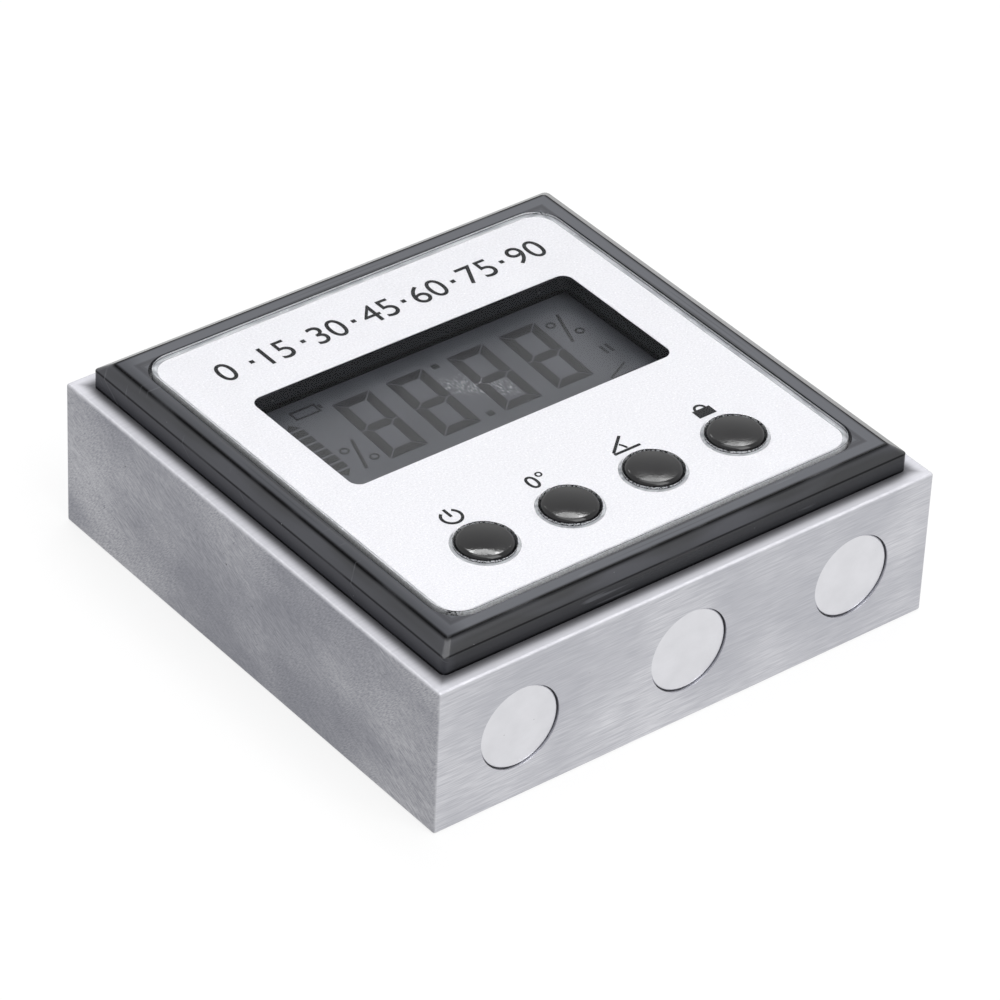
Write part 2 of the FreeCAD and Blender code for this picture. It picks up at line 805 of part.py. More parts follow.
def circuit_board():
    """The board, cut away at the corners for the bosses and notched for the contact tails."""
    board = Moulding("circuit_board")
    edge = board_side / 2
    inner = edge - board_corner_cut
    outline = [(-inner, -edge), (inner, -edge), (inner, -inner), (edge, -inner),
               (edge, inner), (inner, inner), (inner, edge), (-inner, edge),
               (-inner, inner), (-edge, inner), (-edge, -inner), (-inner, -inner)]
    hole = s.board_screw_diameter / 2 + s.screw_hole_gap
    holes = [disc(x, y, hole) for x, y in post_spots]
    board.pad([outline] + holes, board_level, board_top)
    notches = [rectangle((-edge - s.overrun, s.board_notch_depth - edge),
                         across(cell_step * way, s.board_notch_width)) for way in (-1, 1)]
    board.pocket(notches, board_level, board_top)


def board_parts():
    """The processor's resin cap, the tilt sensor, the crystal and the small chip parts."""
    row = parts_row
    blob_diameter = parts_strip * s.blob_share
    blob = dome("processor_dome", blob_diameter / 2, s.blob_height,
                (-s.blob_offset, row, board_level - s.blob_height), -s.blob_height)
    kept(blob, "processor_cap")
    sensor = box("sensor_block", across(s.sensor_offset, s.sensor_side),
                 across(row, s.sensor_side), (board_level - s.sensor_height, board_level))
    kept(sensor, "tilt_sensor")
    crystal = rod("crystal_rod", s.crystal_diameter / 2,
                  (-(s.crystal_length / 2), -row, board_level - s.crystal_diameter / 2),
                  s.crystal_length, "X")
    kept(crystal, "clock_crystal")
    chips = []
    for row_name, y in (("lower", -chip_row), ("upper", chip_row)):
        for n in range(CHIPS_IN_ROW):
            x = s.chip_pitch * (n - (CHIPS_IN_ROW - 1) / 2)
            chips.append(box(f"chip_{row_name}_{n}", across(x, s.chip_length),
                             across(y, s.chip_width), (board_level - s.chip_height, board_level)))
    kept(group("chip_group", chips), "chip_parts")


def cross_slot(name, x, y, level, reach):
    """Two crossed slots that a screwdriver turns, cut up into a head from its level."""
    depth = (level - s.overrun, level + s.screw_slot_depth)
    return [box(name + "_slot_a", across(x, reach), across(y, s.screw_slot_width), depth),
            box(name + "_slot_b", across(x, s.screw_slot_width), across(y, reach), depth)]


def screws():
    """The four case screws and the four smaller board screws, driven from the back."""
    case_screws = []
    head_level = s.cover_recess + s.case_screw_sink
    shank_radius = s.case_screw_diameter / 2
    head_radius = s.case_screw_head_diameter / 2
    for n, (x, y) in enumerate(case_screw_spots):
        head = cone(f"case_head_{n}", head_radius, shank_radius, (x, y, head_level),
                    head_radius - shank_radius)
        shank = rod(f"case_shank_{n}", shank_radius, (x, y, head_level), s.case_screw_length)
        whole = fuse(f"case_screw_{n}", [head, shank])
        slots = cross_slot(f"case_screw_{n}", x, y, head_level, head_radius)
        case_screws.append(cut(f"case_screw_cut_{n}", whole, slots))
    kept(group("case_screw_group", case_screws), "case_screws")

    board_screws = []
    for n, (x, y) in enumerate(post_spots):
        head_level = board_level - s.board_screw_head
        head_radius = s.board_screw_head_diameter / 2
        head = rod(f"board_head_{n}", head_radius, (x, y, head_level), s.board_screw_head)
        shank = rod(f"board_shank_{n}", s.board_screw_diameter / 2, (x, y, head_level),
                    s.board_screw_head + s.board_screw_length)
        whole = fuse(f"board_screw_{n}", [head, shank])
        slots = cross_slot(f"board_screw_{n}", x, y, head_level, head_radius)
        board_screws.append(cut(f"board_screw_cut_{n}", whole, slots))
    kept(group("board_screw_group", board_screws), "board_screws")


def back_cover():
    """The moulded back with the battery bay, the door's seat and the finger notch."""
    cover = Moulding("back_cover")
    plate_side = rebate_side - s.cover_gap * 2
    cover.pad([square(plate_side)], s.cover_recess, cover_top)
    cover.round_corners(plate_side / 2, plate_side / 2, s.frame_rebate_radius - s.cover_gap)
    wall = s.cover_wall * 2
    cover.pad([rectangle(across(ZERO, bay_length + wall), across(ZERO, bay_width + wall))],
              cover_top, compartment_top)
    cover.pocket([rectangle(across(ZERO, bay_length), across(ZERO, bay_width))],
                 s.cover_recess, ceiling_level)
    cover.pocket([rectangle(across(ZERO, door_room), across(ZERO, door_space))],
                 s.cover_recess, door_ledge)
    tail_x = (-bay_length / 2, s.board_notch_depth - board_side / 2)
    slots = [rectangle(tail_x, across(cell_step * way, s.board_notch_width)) for way in (-1, 1)]
    cover.pocket(slots, ceiling_level, compartment_top)
    notch = rectangle(across(ZERO, s.notch_width),
                      (-(door_space / 2 + s.notch_length), -door_space / 2))
    cover.pocket([notch], s.cover_recess, s.cover_recess + s.notch_depth)
    recess_y = (-(door_space / 2 + s.catch_recess), -door_space / 2)
    recesses = [rectangle(across(x, s.catch_width + s.catch_gap * 2), recess_y) for x in catch_x]
    cover.pocket(recesses, catch_level - s.catch_gap, door_ledge)
    hole = s.case_screw_diameter / 2 + s.screw_hole_gap
    cover.pocket([disc(x, y, hole) for x, y in case_screw_spots], s.cover_recess, cover_top)
    cover.dress("Chamfer", lambda edge: is_circle(edge, hole, s.cover_recess),
                (s.case_screw_head_diameter - s.case_screw_diameter) / 2)
    pin_reach = door_room + (s.door_pin_length + s.door_gap) * 2
    pin_bore = disc(hinge_y, hinge_z, s.door_pin_radius + s.door_pin_gap)
    cover.side_bar("Pocket", [pin_bore], pin_reach)


def battery_door():
    """The hinged door: a panel with a rolled edge and pins, a sprung latch tongue and grooves."""
    door = Moulding("battery_door")
    width = door_room - s.door_gap * 2
    door.pad([rectangle(across(ZERO, width), (free_edge, hinge_y))], s.cover_recess, door_inner)
    door.side_bar("Pad", [disc(hinge_y, hinge_z, hinge_radius)], width)
    door.side_bar("Pad", [disc(hinge_y, hinge_z, s.door_pin_radius)],
                  width + s.door_pin_length * 2)
    slots = []
    for way in (-1, 1):
        slots.append(rectangle(
            across((s.door_latch_width + s.door_slot_width) / 2 * way, s.door_slot_width),
            (free_edge - s.overrun, free_edge + s.door_latch_length)))
    door.pocket(slots, s.cover_recess, door_inner)
    catch_y = (free_edge - s.catch_reach, free_edge)
    door.pad([rectangle(across(x, s.catch_width), catch_y) for x in catch_x],
             catch_level, catch_top)
    grooves = []
    for n in range(GROOVES):
        centre = free_edge + s.door_groove_pitch * (n + 1)
        grooves.append(rectangle(across(ZERO, s.door_groove_length),
                                 across(centre, s.door_groove_width)))
    door.pocket(grooves, s.cover_recess, s.cover_recess + s.door_groove_depth)


def battery():
    """Two cells head to tail, with their contact plates and springs."""
    inner_face = bay_length / 2 - s.contact_wall_gap - s.contact_thickness
    cell_end = inner_face - s.contact_touch_gap
    for number, way in ((1, -1), (2, 1)):
        y = cell_step * way
        can_length = cell_length - s.cell_nub
        if way < 0:
            nub_x = -cell_end
            can_x = nub_x + s.cell_nub
            spring_x = inner_face
        else:
            can_x = cell_end - cell_length
            nub_x = can_x + can_length
            spring_x = -inner_face
        can = rod(f"cell_can_{number}", cell_diameter / 2, (can_x, y, cell_level), can_length,
                  "X")
        can = rounded(f"cell_eased_{number}", can, is_round, s.cell_edge_radius)
        nub = rod(f"cell_nub_{number}", s.cell_nub_diameter / 2, (nub_x, y, cell_level),
                  s.cell_nub, "X")
        kept(fuse(f"cell_whole_{number}", [can, nub]), f"battery_cell_{number}")
        cell_spring(number, (spring_x, y, cell_level), way)

    plate_z = across(cell_level, cell_diameter * s.contact_height_share)
    left_x = (-(inner_face + s.contact_thickness), -inner_face)
    right_x = (inner_face, inner_face + s.contact_thickness)
    tail_top = board_top + s.contact_tail_proud
    plate_width = cell_diameter * s.contact_width_share
    for name, way in (("positive", -1), ("negative", 1)):
        plate = box("plate_" + name, left_x, across(cell_step * way, plate_width), plate_z)
        tail = box("tail_" + name, left_x, across(cell_step * way, s.contact_tail_width),
                   (cell_level, tail_top))
        kept(fuse("contact_" + name + "_whole", [plate, tail]), "contact_" + name)
    bridge = box("plate_bridge", right_x, across(ZERO, cell_step * 2 + plate_width), plate_z)
    kept(bridge, "contact_bridge")


def arc_from(start, heading, end):
    """The arc that leaves a point along a heading and ends at another point."""
    chord = end - start
    inward = heading.cross(chord).cross(heading).normalize()
    radius = chord.dot(chord) / (2 * chord.dot(inward))
    centre = start + inward * radius
    out = ((start + end) / 2 - centre).normalize()
    return Part.Arc(start, centre + out * radius, end).toShape()


def arc_pair(start, start_heading, end, end_heading):
    """Two arcs that join smoothly, and leave and reach their ends along the headings."""
    span = end - start
    along = span.dot(start_heading + end_heading)
    spread = 2 * (1 - start_heading.dot(end_heading))
    reach = (math.sqrt(along * along + spread * span.dot(span)) - along) / spread
    first = start + start_heading * reach
    last = end - end_heading * reach
    middle = (first + last) / 2
    return [arc_from(start, start_heading, middle), arc_from(middle, last - first, end)]


def conical_path(wide, narrow, climb, turns):
    """A smooth wire that winds up a cone, as pairs of arcs."""
    spots = []
    headings = []
    steps = int(turns * ARC_PAIRS_IN_TURN)
    for step in range(steps + 1):
        share = step / steps
        angle = 2 * math.pi * turns * share
        radius = wide + (narrow - wide) * share
        out = FreeCAD.Vector(math.cos(angle), math.sin(angle), 0)
        side = FreeCAD.Vector(-out.y, out.x, 0)
        spots.append(out * radius + FreeCAD.Vector(0, 0, climb * share))
        rise = FreeCAD.Vector(0, 0, climb)
        headings.append((out * (narrow - wide) + side * (2 * math.pi * turns * radius)
                         + rise).normalize())
    edges = []
    for k in range(steps):
        edges += arc_pair(spots[k], headings[k], spots[k + 1], headings[k + 1])
    return Part.Wire(edges), spots[0], headings[0]


def cell_spring(number, start, way):
    """A conical spring that stands on its plate and narrows towards the cell."""
    climb = s.spring_room - s.contact_touch_gap * 2 - s.spring_wire
    path, foot, heading = conical_path(s.spring_base_radius.number, s.spring_tip_radius.number,
                                       climb.number, SPRING_TURNS)
    section = Part.Wire([Part.Circle(foot, heading, (s.spring_wire / 2).number).toShape()])
    shell = Part.BRepOffsetAPI.MakePipeShell(path)
    shell.add(section)
    shell.build()
    shell.makeSolid()
    coil = doc.addObject("Part::Feature", f"spring_coil_{number}")
    coil.Shape = shell.shape()
    coil.Placement = FreeCAD.Placement(FreeCAD.Vector(),
                                       FreeCAD.Rotation(FreeCAD.Vector(0, 1, 0), 90 * way))
    stand = (s.spring_wire / 2 + s.contact_touch_gap) * way
    move(coil, start[0] + stand, start[1], start[2])
    kept(coil, f"contact_spring_{number}")


steel_frame()
magnets()
front_bezel()
lens_and_face()
for kind, place in zip(("power", "percent", "reference", "hold"), button_x):
    button("button_" + kind, place)
    switch_stem("switch_stem_" + kind, place)
switches()
display()
circuit_board()
board_parts()
screws()
back_cover()
battery_door()
battery()
doc.recompute()

# Nothing is written unless every object is sound

for thing in doc.Objects:
    if "Invalid" in thing.State or "Error" in thing.State:
        raise RuntimeError(f"{thing.Label} is in state {thing.State}")
for piece in PIECES:
    if piece.Shape.isNull() or not piece.Shape.isValid() or not piece.Shape.Solids:
        raise RuntimeError(f"{piece.Label} has no sound solid")

os.makedirs("parts", exist_ok=True)
for piece in PIECES:
    piece.Shape.exportStep(f"parts/{piece.Label}.step")
    print(f"{piece.Label}: {len(piece.Shape.Solids)} solids, {piece.Shape.Volume:.2f} mm3")
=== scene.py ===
"""A 60 mm square digital inclinometer: finishes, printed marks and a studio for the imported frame.

Everything is in metres in the CAD frame once it is built. The sizes below are in millimetres, and
the sizes of what the CAD carries are read from the frame.
"""
import logging
import math
from collections.abc import Iterable, Sequence
from dataclasses import dataclass, field
from enum import Enum
from functools import cached_property
from typing import ClassVar

import bmesh
import bpy
from mathutils import Matrix, Vector


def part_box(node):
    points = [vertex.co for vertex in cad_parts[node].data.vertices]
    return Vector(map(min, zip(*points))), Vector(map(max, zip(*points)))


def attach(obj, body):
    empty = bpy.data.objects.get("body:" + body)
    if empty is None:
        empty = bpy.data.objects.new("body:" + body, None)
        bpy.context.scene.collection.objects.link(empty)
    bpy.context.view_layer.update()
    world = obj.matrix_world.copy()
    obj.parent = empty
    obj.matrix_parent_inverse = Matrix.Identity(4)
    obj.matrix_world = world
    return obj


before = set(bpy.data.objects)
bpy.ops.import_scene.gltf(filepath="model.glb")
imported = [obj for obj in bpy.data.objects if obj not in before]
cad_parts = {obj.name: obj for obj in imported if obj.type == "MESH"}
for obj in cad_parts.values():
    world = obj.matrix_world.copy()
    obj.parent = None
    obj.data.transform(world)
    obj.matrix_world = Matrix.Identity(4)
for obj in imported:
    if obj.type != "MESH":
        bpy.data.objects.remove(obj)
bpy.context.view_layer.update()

LOG = logging.getLogger("inclinometer")
MM = 0.001
# Points closer than this, in millimetres, are made one.
MERGE = 0.001

Point = tuple[float, float]
Spot = tuple[float, float, float]
Socket = bpy.types.NodeSocket
Feed = Socket | float | int | Sequence[float]


class Body(Enum):
    """The CAD bodies that the scene's own pieces ride on."""

    CASE = "case"
    DOOR = "door"


class Emblem(Enum):
    """The plain signs printed over the four buttons."""

    POWER = "power"
    ZERO = "zero"
    ANGLE = "angle"
    LOCK = "lock"


class Measure(Enum):
    """How a tree measures a place: along the axes, out from their planes, or round the sides."""

    SPOT = "spot"
    FOLDED = "folded"
    GIRTH = "girth"


def linear(colour: str) -> tuple[float, float, float, float]:
    """Turns an sRGB hex colour into the linear colour that Blender's sockets take.

    Args:
        colour: six hex digits after a hash sign.

    Returns:
        Red, green, blue and an alpha of 1, the first three linear.
    """
    levels = (int(colour[start:start + 2], 16) / 255 for start in (1, 3, 5))
    red, green, blue = (level / 12.92 if level <= 0.04045 else ((level + 0.055) / 1.055) ** 2.4
                        for level in levels)
    return (red, green, blue, 1.0)


WHITE = linear("#ffffff")


class Nodes:
    """A node tree while its nodes are added and joined up."""

    def __init__(self, tree: bpy.types.NodeTree) -> None:
        """Takes a tree and empties it."""
        self.tree = tree
        self.tree.nodes.clear()

    def add(self, kind: str, feeds: dict[str | int, Feed] | None = None, out: str | int = 0,
            **settings: object) -> Socket | None:
        """Adds one node with its settings, values and links.

        Args:
            kind: the node's type.
            feeds: what each input gets, a socket to link or a value to set.
            out: the output that is handed back.
            settings: the node's own properties.

        Returns:
            The chosen output socket, or None for a node that ends the tree.
        """
        node = self.tree.nodes.new(kind)
        for key, value in settings.items():
            setattr(node, key, value)
        for key, value in (feeds or {}).items():
            if isinstance(value, Socket):
                self.tree.links.new(value, node.inputs[key])
            else:
                node.inputs[key].default_value = value
        return node.outputs[out] if len(node.outputs) else None

    def rays(self, *kinds: str) -> Socket:
        """A value that is 1 for rays of these kinds and 0 for all others."""
        total = 0.0
        for kind in kinds:
            ray = self.add("ShaderNodeLightPath", out=kind)
            total = self.add("ShaderNodeMath", {0: total, 1: ray}, operation="MAXIMUM")
        return total

    def seen(self) -> Socket:
        """A value that is 1 for what is seen, straight or in metal and glass, and 0 for light."""
        return self.rays("Is Camera Ray", "Is Glossy Ray", "Is Transmission Ray")

    def lighting(self) -> Socket:
        """A value that is 1 for the rays that bring light to what lies under a clear piece."""
        return self.rays("Is Shadow Ray", "Is Diffuse Ray")


class Tree(Nodes):
    """A material's nodes, with places in millimetres and each pattern drawn only once."""

    def __init__(self, name: str) -> None:
        """Starts a material of this name with an empty tree."""
        self.material = bpy.data.materials.new(name)
        self.material.use_nodes = True
        super().__init__(self.material.node_tree)
        metres = self.add("ShaderNodeTexCoord", out="Object")
        self.spot = self.add("ShaderNodeVectorMath", {0: metres, "Scale": 1 / MM},
                             operation="SCALE")
        self.drawn: dict[Pattern, Socket] = {}

    @cached_property
    def folded(self) -> Socket:
        """A place as its distances from the middle planes."""
        return self.add("ShaderNodeVectorMath", {0: self.spot}, operation="ABSOLUTE")

    @cached_property
    def girth(self) -> Socket:
        """A place as its distance out from the middle, its way along the side and its height."""
        sides = [self.add("ShaderNodeSeparateXYZ", {0: self.folded}, axis) for axis in "XYZ"]
        out, along = (self.add("ShaderNodeMath", {0: sides[0], 1: sides[1]}, operation=choice)
                      for choice in ("MAXIMUM", "MINIMUM"))
        return self.add("ShaderNodeCombineXYZ", {"X": out, "Y": along, "Z": sides[2]})

    def draw(self, value: "Pattern | Feed") -> Feed:
        """A pattern's value, drawn the first time, or a plain value as it is."""
        if not isinstance(value, Pattern):
            return value
        if value not in self.drawn:
            self.drawn[value] = value.draw(self)
        return self.drawn[value]

    def layered(self, base: str, layers: Iterable[tuple[str, "Pattern"]]) -> Feed:
        """Lays colours over a base colour.

        Args:
            base: the lowest colour, in hex.
            layers: each colour in hex with the pattern that shows it, from the lowest up.

        Returns:
            The colour that is seen.
        """
        colour = linear(base)
        for over, pattern in layers:
            colour = self.add("ShaderNodeMix",
                              {0: self.draw(pattern), 6: colour, 7: linear(over)}, 2,
                              data_type="RGBA")
        return colour

    def raised(self, relief: Iterable[tuple["Pattern", float]]) -> Socket:
        """Adds up bumps.

        Args:
            relief: each pattern with its depth in millimetres, from the lowest up.

        Returns:
            The normal.
        """
        under: dict[str, Feed] = {}
        for pattern, depth in relief:
            bump = self.add("ShaderNodeBump", {"Height": self.draw(pattern), "Strength": 1.0,
                                               "Distance": depth * MM, **under})
            under = {"Normal": bump}
        return under["Normal"]

    def finish(self, surface: Socket) -> bpy.types.Material:
        """Ends the tree with its output and hands back the material."""
        self.add("ShaderNodeOutputMaterial", {"Surface": surface})
        return self.material


@dataclass(frozen=True)
class Pattern:
    """Something that varies over a surface. Its sizes are in millimetres, its turns in degrees."""

    def draw(self, tree: Tree) -> Socket:
        """Adds the pattern's nodes and hands back its value."""
        raise NotImplementedError

    def __mul__(self, other: "Pattern | float") -> "Pattern":
        """Shows where both patterns do, or as much less as a number says."""
        return Pair(self, other, "MULTIPLY")

    def __or__(self, other: "Pattern") -> "Pattern":
        """Shows where either pattern does."""
        return Pair(self, other, "MAXIMUM")

    def __add__(self, other: "Pattern") -> "Pattern":
        """Adds one value to another."""
        return Pair(self, other, "ADD")


@dataclass(frozen=True)
class Pair(Pattern):
    """Two patterns, or a pattern and a number, worked into one value."""

    first: Pattern
    second: Pattern | float
    operation: str

    def draw(self, tree: Tree) -> Socket:
        """Works out the value."""
        return tree.add("ShaderNodeMath", {0: tree.draw(self.first), 1: tree.draw(self.second)},
                        operation=self.operation)


@dataclass(frozen=True)
class Choice(Pattern):
    """One pattern that gives way to another as a third shows."""

    share: Pattern
    first: Pattern
    second: Pattern

    def draw(self, tree: Tree) -> Socket:
        """Mixes the two."""
        return tree.add("ShaderNodeMix", {0: tree.draw(self.share), 2: tree.draw(self.first),
                                          3: tree.draw(self.second)})


@dataclass(frozen=True)
class Shown(Pattern):
    """How much a pattern lets show: from least at its start level to most at its end level."""

    pattern: Pattern
    start: float = 0.0
    end: float = 1.0
    most: float = 1.0
    least: float = 0.0
    soft: bool = False

    def draw(self, tree: Tree) -> Socket:
        """Maps the pattern, with rounded ends where it is soft."""
        return tree.add("ShaderNodeMapRange",
                        {0: tree.draw(self.pattern), 1: self.start, 2: self.end,
                         3: self.least, 4: self.most},
                        interpolation_type="SMOOTHSTEP" if self.soft else "LINEAR")


@dataclass(frozen=True)
class Place(Pattern):
    """A distance along one axis of a measure."""

    axis: str
    measure: Measure = Measure.SPOT

    def draw(self, tree: Tree) -> Socket:
        """Picks the axis out of the measure."""
        return tree.add("ShaderNodeSeparateXYZ", {0: getattr(tree, self.measure.value)},
                        self.axis)


@dataclass(frozen=True)
class Grain(Pattern):
    """Soft grain of one size, so many times longer along each axis, and turned about X."""

    size: float
    stretch: Spot = (1, 1, 1)
    turn: float = 0.0
    detail: float = 2.0

    def draw(self, tree: Tree) -> Socket:
        """Draws the grain with finer layers in it, as many as its detail says."""
        place = tree.add("ShaderNodeMapping",
                         {0: tree.spot, "Rotation": (math.radians(self.turn), 0, 0),
                          "Scale": tuple(self.size * share for share in self.stretch)},
                         vector_type="TEXTURE")
        return tree.add("ShaderNodeTexNoise", {0: place, "Scale": 1.0, "Detail": self.detail})


@dataclass(frozen=True)
class Flow(Pattern):
    """Streaks that run along the sides of a square part and turn its corners."""

    width: float
    length: float

    def draw(self, tree: Tree) -> Socket:
        """Draws the streaks."""
        place = tree.add("ShaderNodeMapping",
                         {0: tree.girth, "Scale": (self.width, self.length, self.width)},
                         vector_type="TEXTURE")
        return tree.add("ShaderNodeTexNoise", {0: place, "Scale": 1.0, "Detail": 2.0})


@dataclass(frozen=True)
class Cells(Pattern):
    """The distance from points scattered through the piece, as a share of their pitch."""

    pitch: float
    distance: str = "EUCLIDEAN"

    def draw(self, tree: Tree) -> Socket:
        """Draws the cells round the points."""
        return tree.add("ShaderNodeTexVoronoi", {0: tree.spot, "Scale": 1 / self.pitch},
                        "Distance", distance=self.distance)


@dataclass(frozen=True)
class Weave(Pattern):
    """The squares of a woven cloth, by turns over and under."""

    pitch: float

    def draw(self, tree: Tree) -> Socket:
        """Draws the squares."""
        return tree.add("ShaderNodeTexChecker", {0: tree.spot, "Scale": 1 / self.pitch}, "Fac")


@dataclass(frozen=True)
class Edge(Pattern):
    """A line on a square edge of the case, which fades out at its width.

    The edge lies level at a height, or stands upright where two sides meet.
    """

    out: float
    width: float
    height: float | None = None

    def draw(self, tree: Tree) -> Socket:
        """Draws the line all round the part."""
        keep, edge = (((1, 1, 0), (self.out, self.out, 0)) if self.height is None
                      else ((1, 0, 1), (self.out, 0, self.height)))
        flat = tree.add("ShaderNodeVectorMath", {0: tree.girth, 1: keep}, operation="MULTIPLY")
        gap = tree.add("ShaderNodeVectorMath", {0: flat, 1: edge}, "Value",
                       operation="DISTANCE")
        return tree.add("ShaderNodeMapRange", {0: gap, 1: self.width, 2: 0.0},
                        interpolation_type="SMOOTHSTEP")


@dataclass(frozen=True)
class Patch(Pattern):
    """An oval place that fades out at its rim, turned about Z."""

    spot: Spot
    reach: Spot
    turn: float
    full: float = 0.2

    def draw(self, tree: Tree) -> Socket:
        """Draws the place, which is full over a share of its reach."""
        place = tree.add("ShaderNodeMapping",
                         {0: tree.spot, "Location": self.spot, "Scale": self.reach,
                          "Rotation": (0, 0, math.radians(self.turn))}, vector_type="TEXTURE")
        gap = tree.add("ShaderNodeVectorMath", {0: place}, "Value", operation="LENGTH")
        return tree.add("ShaderNodeMapRange", {0: gap, 1: 1.0, 2: self.full},
                        interpolation_type="SMOOTHSTEP")


def specks(pitch: float, radius: float) -> Pattern:
    """Small round specks, a mean pitch apart, the largest of this radius."""
    return Shown(Cells(pitch), start=radius / pitch, end=0.0, soft=True)


def scratches(pitch: float, length: float, turn: float, area: float, start: float, end: float,
              most: float) -> Pattern:
    """Thin lines left by handling, whose ends fade out, kept in some areas only.

    Args:
        pitch: how far apart the lines are, in millimetres.
        length: how many times longer than that they are.
        turn: degrees about the X axis.
        area: the size of the areas, in millimetres.
        start: where in the areas' grain they start to show.
        end: where they show most.
        most: how much that is.

    Returns:
        A pattern that is at its most in a scratch and 0 elsewhere.
    """
    lines = Shown(Grain(pitch, (length, length, 1), turn, detail=0.0), start=0.70, end=0.78,
                  soft=True)
    return lines * Shown(Grain(area), start=start, end=end, most=most)


@dataclass(frozen=True)
class Coat:
    """What lies over a finish's base colour, as Tree.layered and Tree.raised take it."""

    layers: Sequence[tuple[str, Pattern]]
    relief: Sequence[tuple[Pattern, float]]
    rough: Pattern | float
    metal: Pattern | float = 0.0
    shine: Pattern | float = 0.5


@dataclass(frozen=True)
class Finish:
    """A surface, named for its material and how it was made."""

    name: str
    colour: str
    roughness: float

    def coat(self) -> Coat:
        """Says what lies over the base colour."""
        raise NotImplementedError

    def worn(self, pattern: Pattern, less: float, more: float) -> Pattern:
        """A roughness that a pattern makes less or more."""
        return Shown(pattern, start=0.3, end=0.7, least=self.roughness - less,
                     most=self.roughness + more)

    def surface(self, tree: Tree) -> Socket:
        """Draws the coat and hands back the surface."""
        coat = self.coat()
        return tree.add("ShaderNodeBsdfPrincipled",
                        {"Base Color": tree.layered(self.colour, coat.layers),
                         "Roughness": tree.draw(coat.rough), "Metallic": tree.draw(coat.metal),
                         "Specular IOR Level": tree.draw(coat.shine),
                         "Normal": tree.raised(coat.relief)})

    def material(self) -> bpy.types.Material:
        """Builds the material."""
        tree = Tree(self.name)
        return tree.finish(self.surface(tree))


@dataclass(frozen=True)
class GroundSteel(Finish):
    """Mild steel ground on a belt on two sides and tumbled on the others.

    The real lines are about 0.02 mm apart, too fine to show, so they are drawn as far apart as
    grit says.
    """

    grit: float = 0.1
    # Where the painted shade of the bezel's foot lies on the ledge, and how far out it fades.
    foot: float = 28.1
    foot_shade: float = 1.35
    side_fade: Point = (0.2, 0.05)
    ledge_fade: Point = (0.3, 0.02)
    # How many times its width a streak is long, and its turn, on each kind of side.
    ground_streak: Point = (28, 25.0)
    short_streak: Point = (8, 25.0)
    cross_streak: Point = (6, -45.0)
    edge_widths: Spot = (0.4, 0.32, 0.36)
    # How dark the painted shade beside the bezel's foot is.
    dirt_share: float = 0.8
    milled_roughness: float = 0.3
    # The tumbled sides' colours: partly their own darker tone, and partly painted shade that
    # darkens those faces.
    coarse: str = "#b6b6ba"
    coarse_shade: str = "#686a74"
    shade: str = "#a9aab1"
    ledge: str = "#bcbcc1"
    # The colour of the painted shade and reflection of the bezel on the ledge.
    dirt: str = "#3c3c40"
    pit: str = "#3a3a3c"
    bright: str = "#dadbde"

    def coat(self) -> Coat:
        """Clouds and lines, then dents, the milled ledge, painted shade beside the bezel, pits and
        bright edges.
        """
        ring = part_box("steel_frame")[1] / MM
        tumbled = Shown(Place("X", Measure.FOLDED), start=ring.x - self.side_fade[0],
                        end=ring.x - self.side_fade[1])
        ledge = Shown(Place("Z"), start=ring.z - self.ledge_fade[0],
                      end=ring.z - self.ledge_fade[1])
        ground = Shown(tumbled, least=1.0, most=0.0)
        streaks, short, cross = (Grain(self.grit, (length, length, 1), turn, detail=4.0)
                                 for length, turn in (self.ground_streak, self.short_streak,
                                                      self.cross_streak))
        patches = Shown(Grain(size=7.0), start=0.4, end=0.6, least=0.15, most=0.85)
        worked = Choice(tumbled, streaks, Choice(patches, short, cross))
        clouds = Shown(Grain(size=13.0, stretch=(1, 1.6, 1), detail=3.0), start=0.36, end=0.62,
                       most=0.6)
        lines = Shown(worked, start=0.36, end=0.64, most=0.6)
        dents = scratches(pitch=0.25, length=4, turn=-40.0, area=5.0, start=0.52, end=0.62,
                          most=0.45)
        # Painted shade and reflection of the bezel, which darken the ledge beside its foot.
        foot = Edge(self.foot, self.foot_shade, ring.z)
        pits = specks(pitch=5.5, radius=0.16)
        upper, lower, upright = (Edge(ring.x, width, height) for width, height in
                                 zip(self.edge_widths, (ring.z, 0.0, None)))
        worn = Shown(Grain(size=0.7), start=0.3, end=0.7, most=0.35)
        return Coat(layers=((self.shade, clouds), (self.coarse, tumbled),
                            (self.coarse_shade, clouds * tumbled),
                            (self.shade, lines * ground), (self.coarse_shade, lines * tumbled),
                            (self.coarse_shade, dents * tumbled), (self.ledge, ledge),
                            (self.dirt, foot * self.dirt_share), (self.pit, pits),
                            (self.bright, (upper | lower | upright) * worn)),
                    relief=((worked, 0.007), (pits, -0.05)), metal=1.0,
                    rough=(self.worn(worked, less=0.05, more=0.08)
                           + ledge * self.milled_roughness))


@dataclass(frozen=True)
class PlatedMetal(Finish):
    """Plated or rolled metal: even and bright, with faint rolling lines, stains and small pits."""

    stain: str = "#9a9a9c"
    pit: str = "#55504c"
    amount: float = 0.3
    pit_pitch: float = 1.6

    def coat(self) -> Coat:
        """Stains with pits over them."""
        lines = Grain(size=0.12, stretch=(18, 18, 1), turn=12.0)
        stains = Shown(Grain(size=2.2, detail=4.0), start=0.35, end=0.75, most=self.amount)
        pits = specks(self.pit_pitch, radius=0.07)
        return Coat(layers=((self.stain, stains), (self.pit, pits)),
                    relief=((lines, 0.003), (pits, -0.02)),
                    rough=self.worn(lines, less=0.05, more=0.06), metal=1.0)


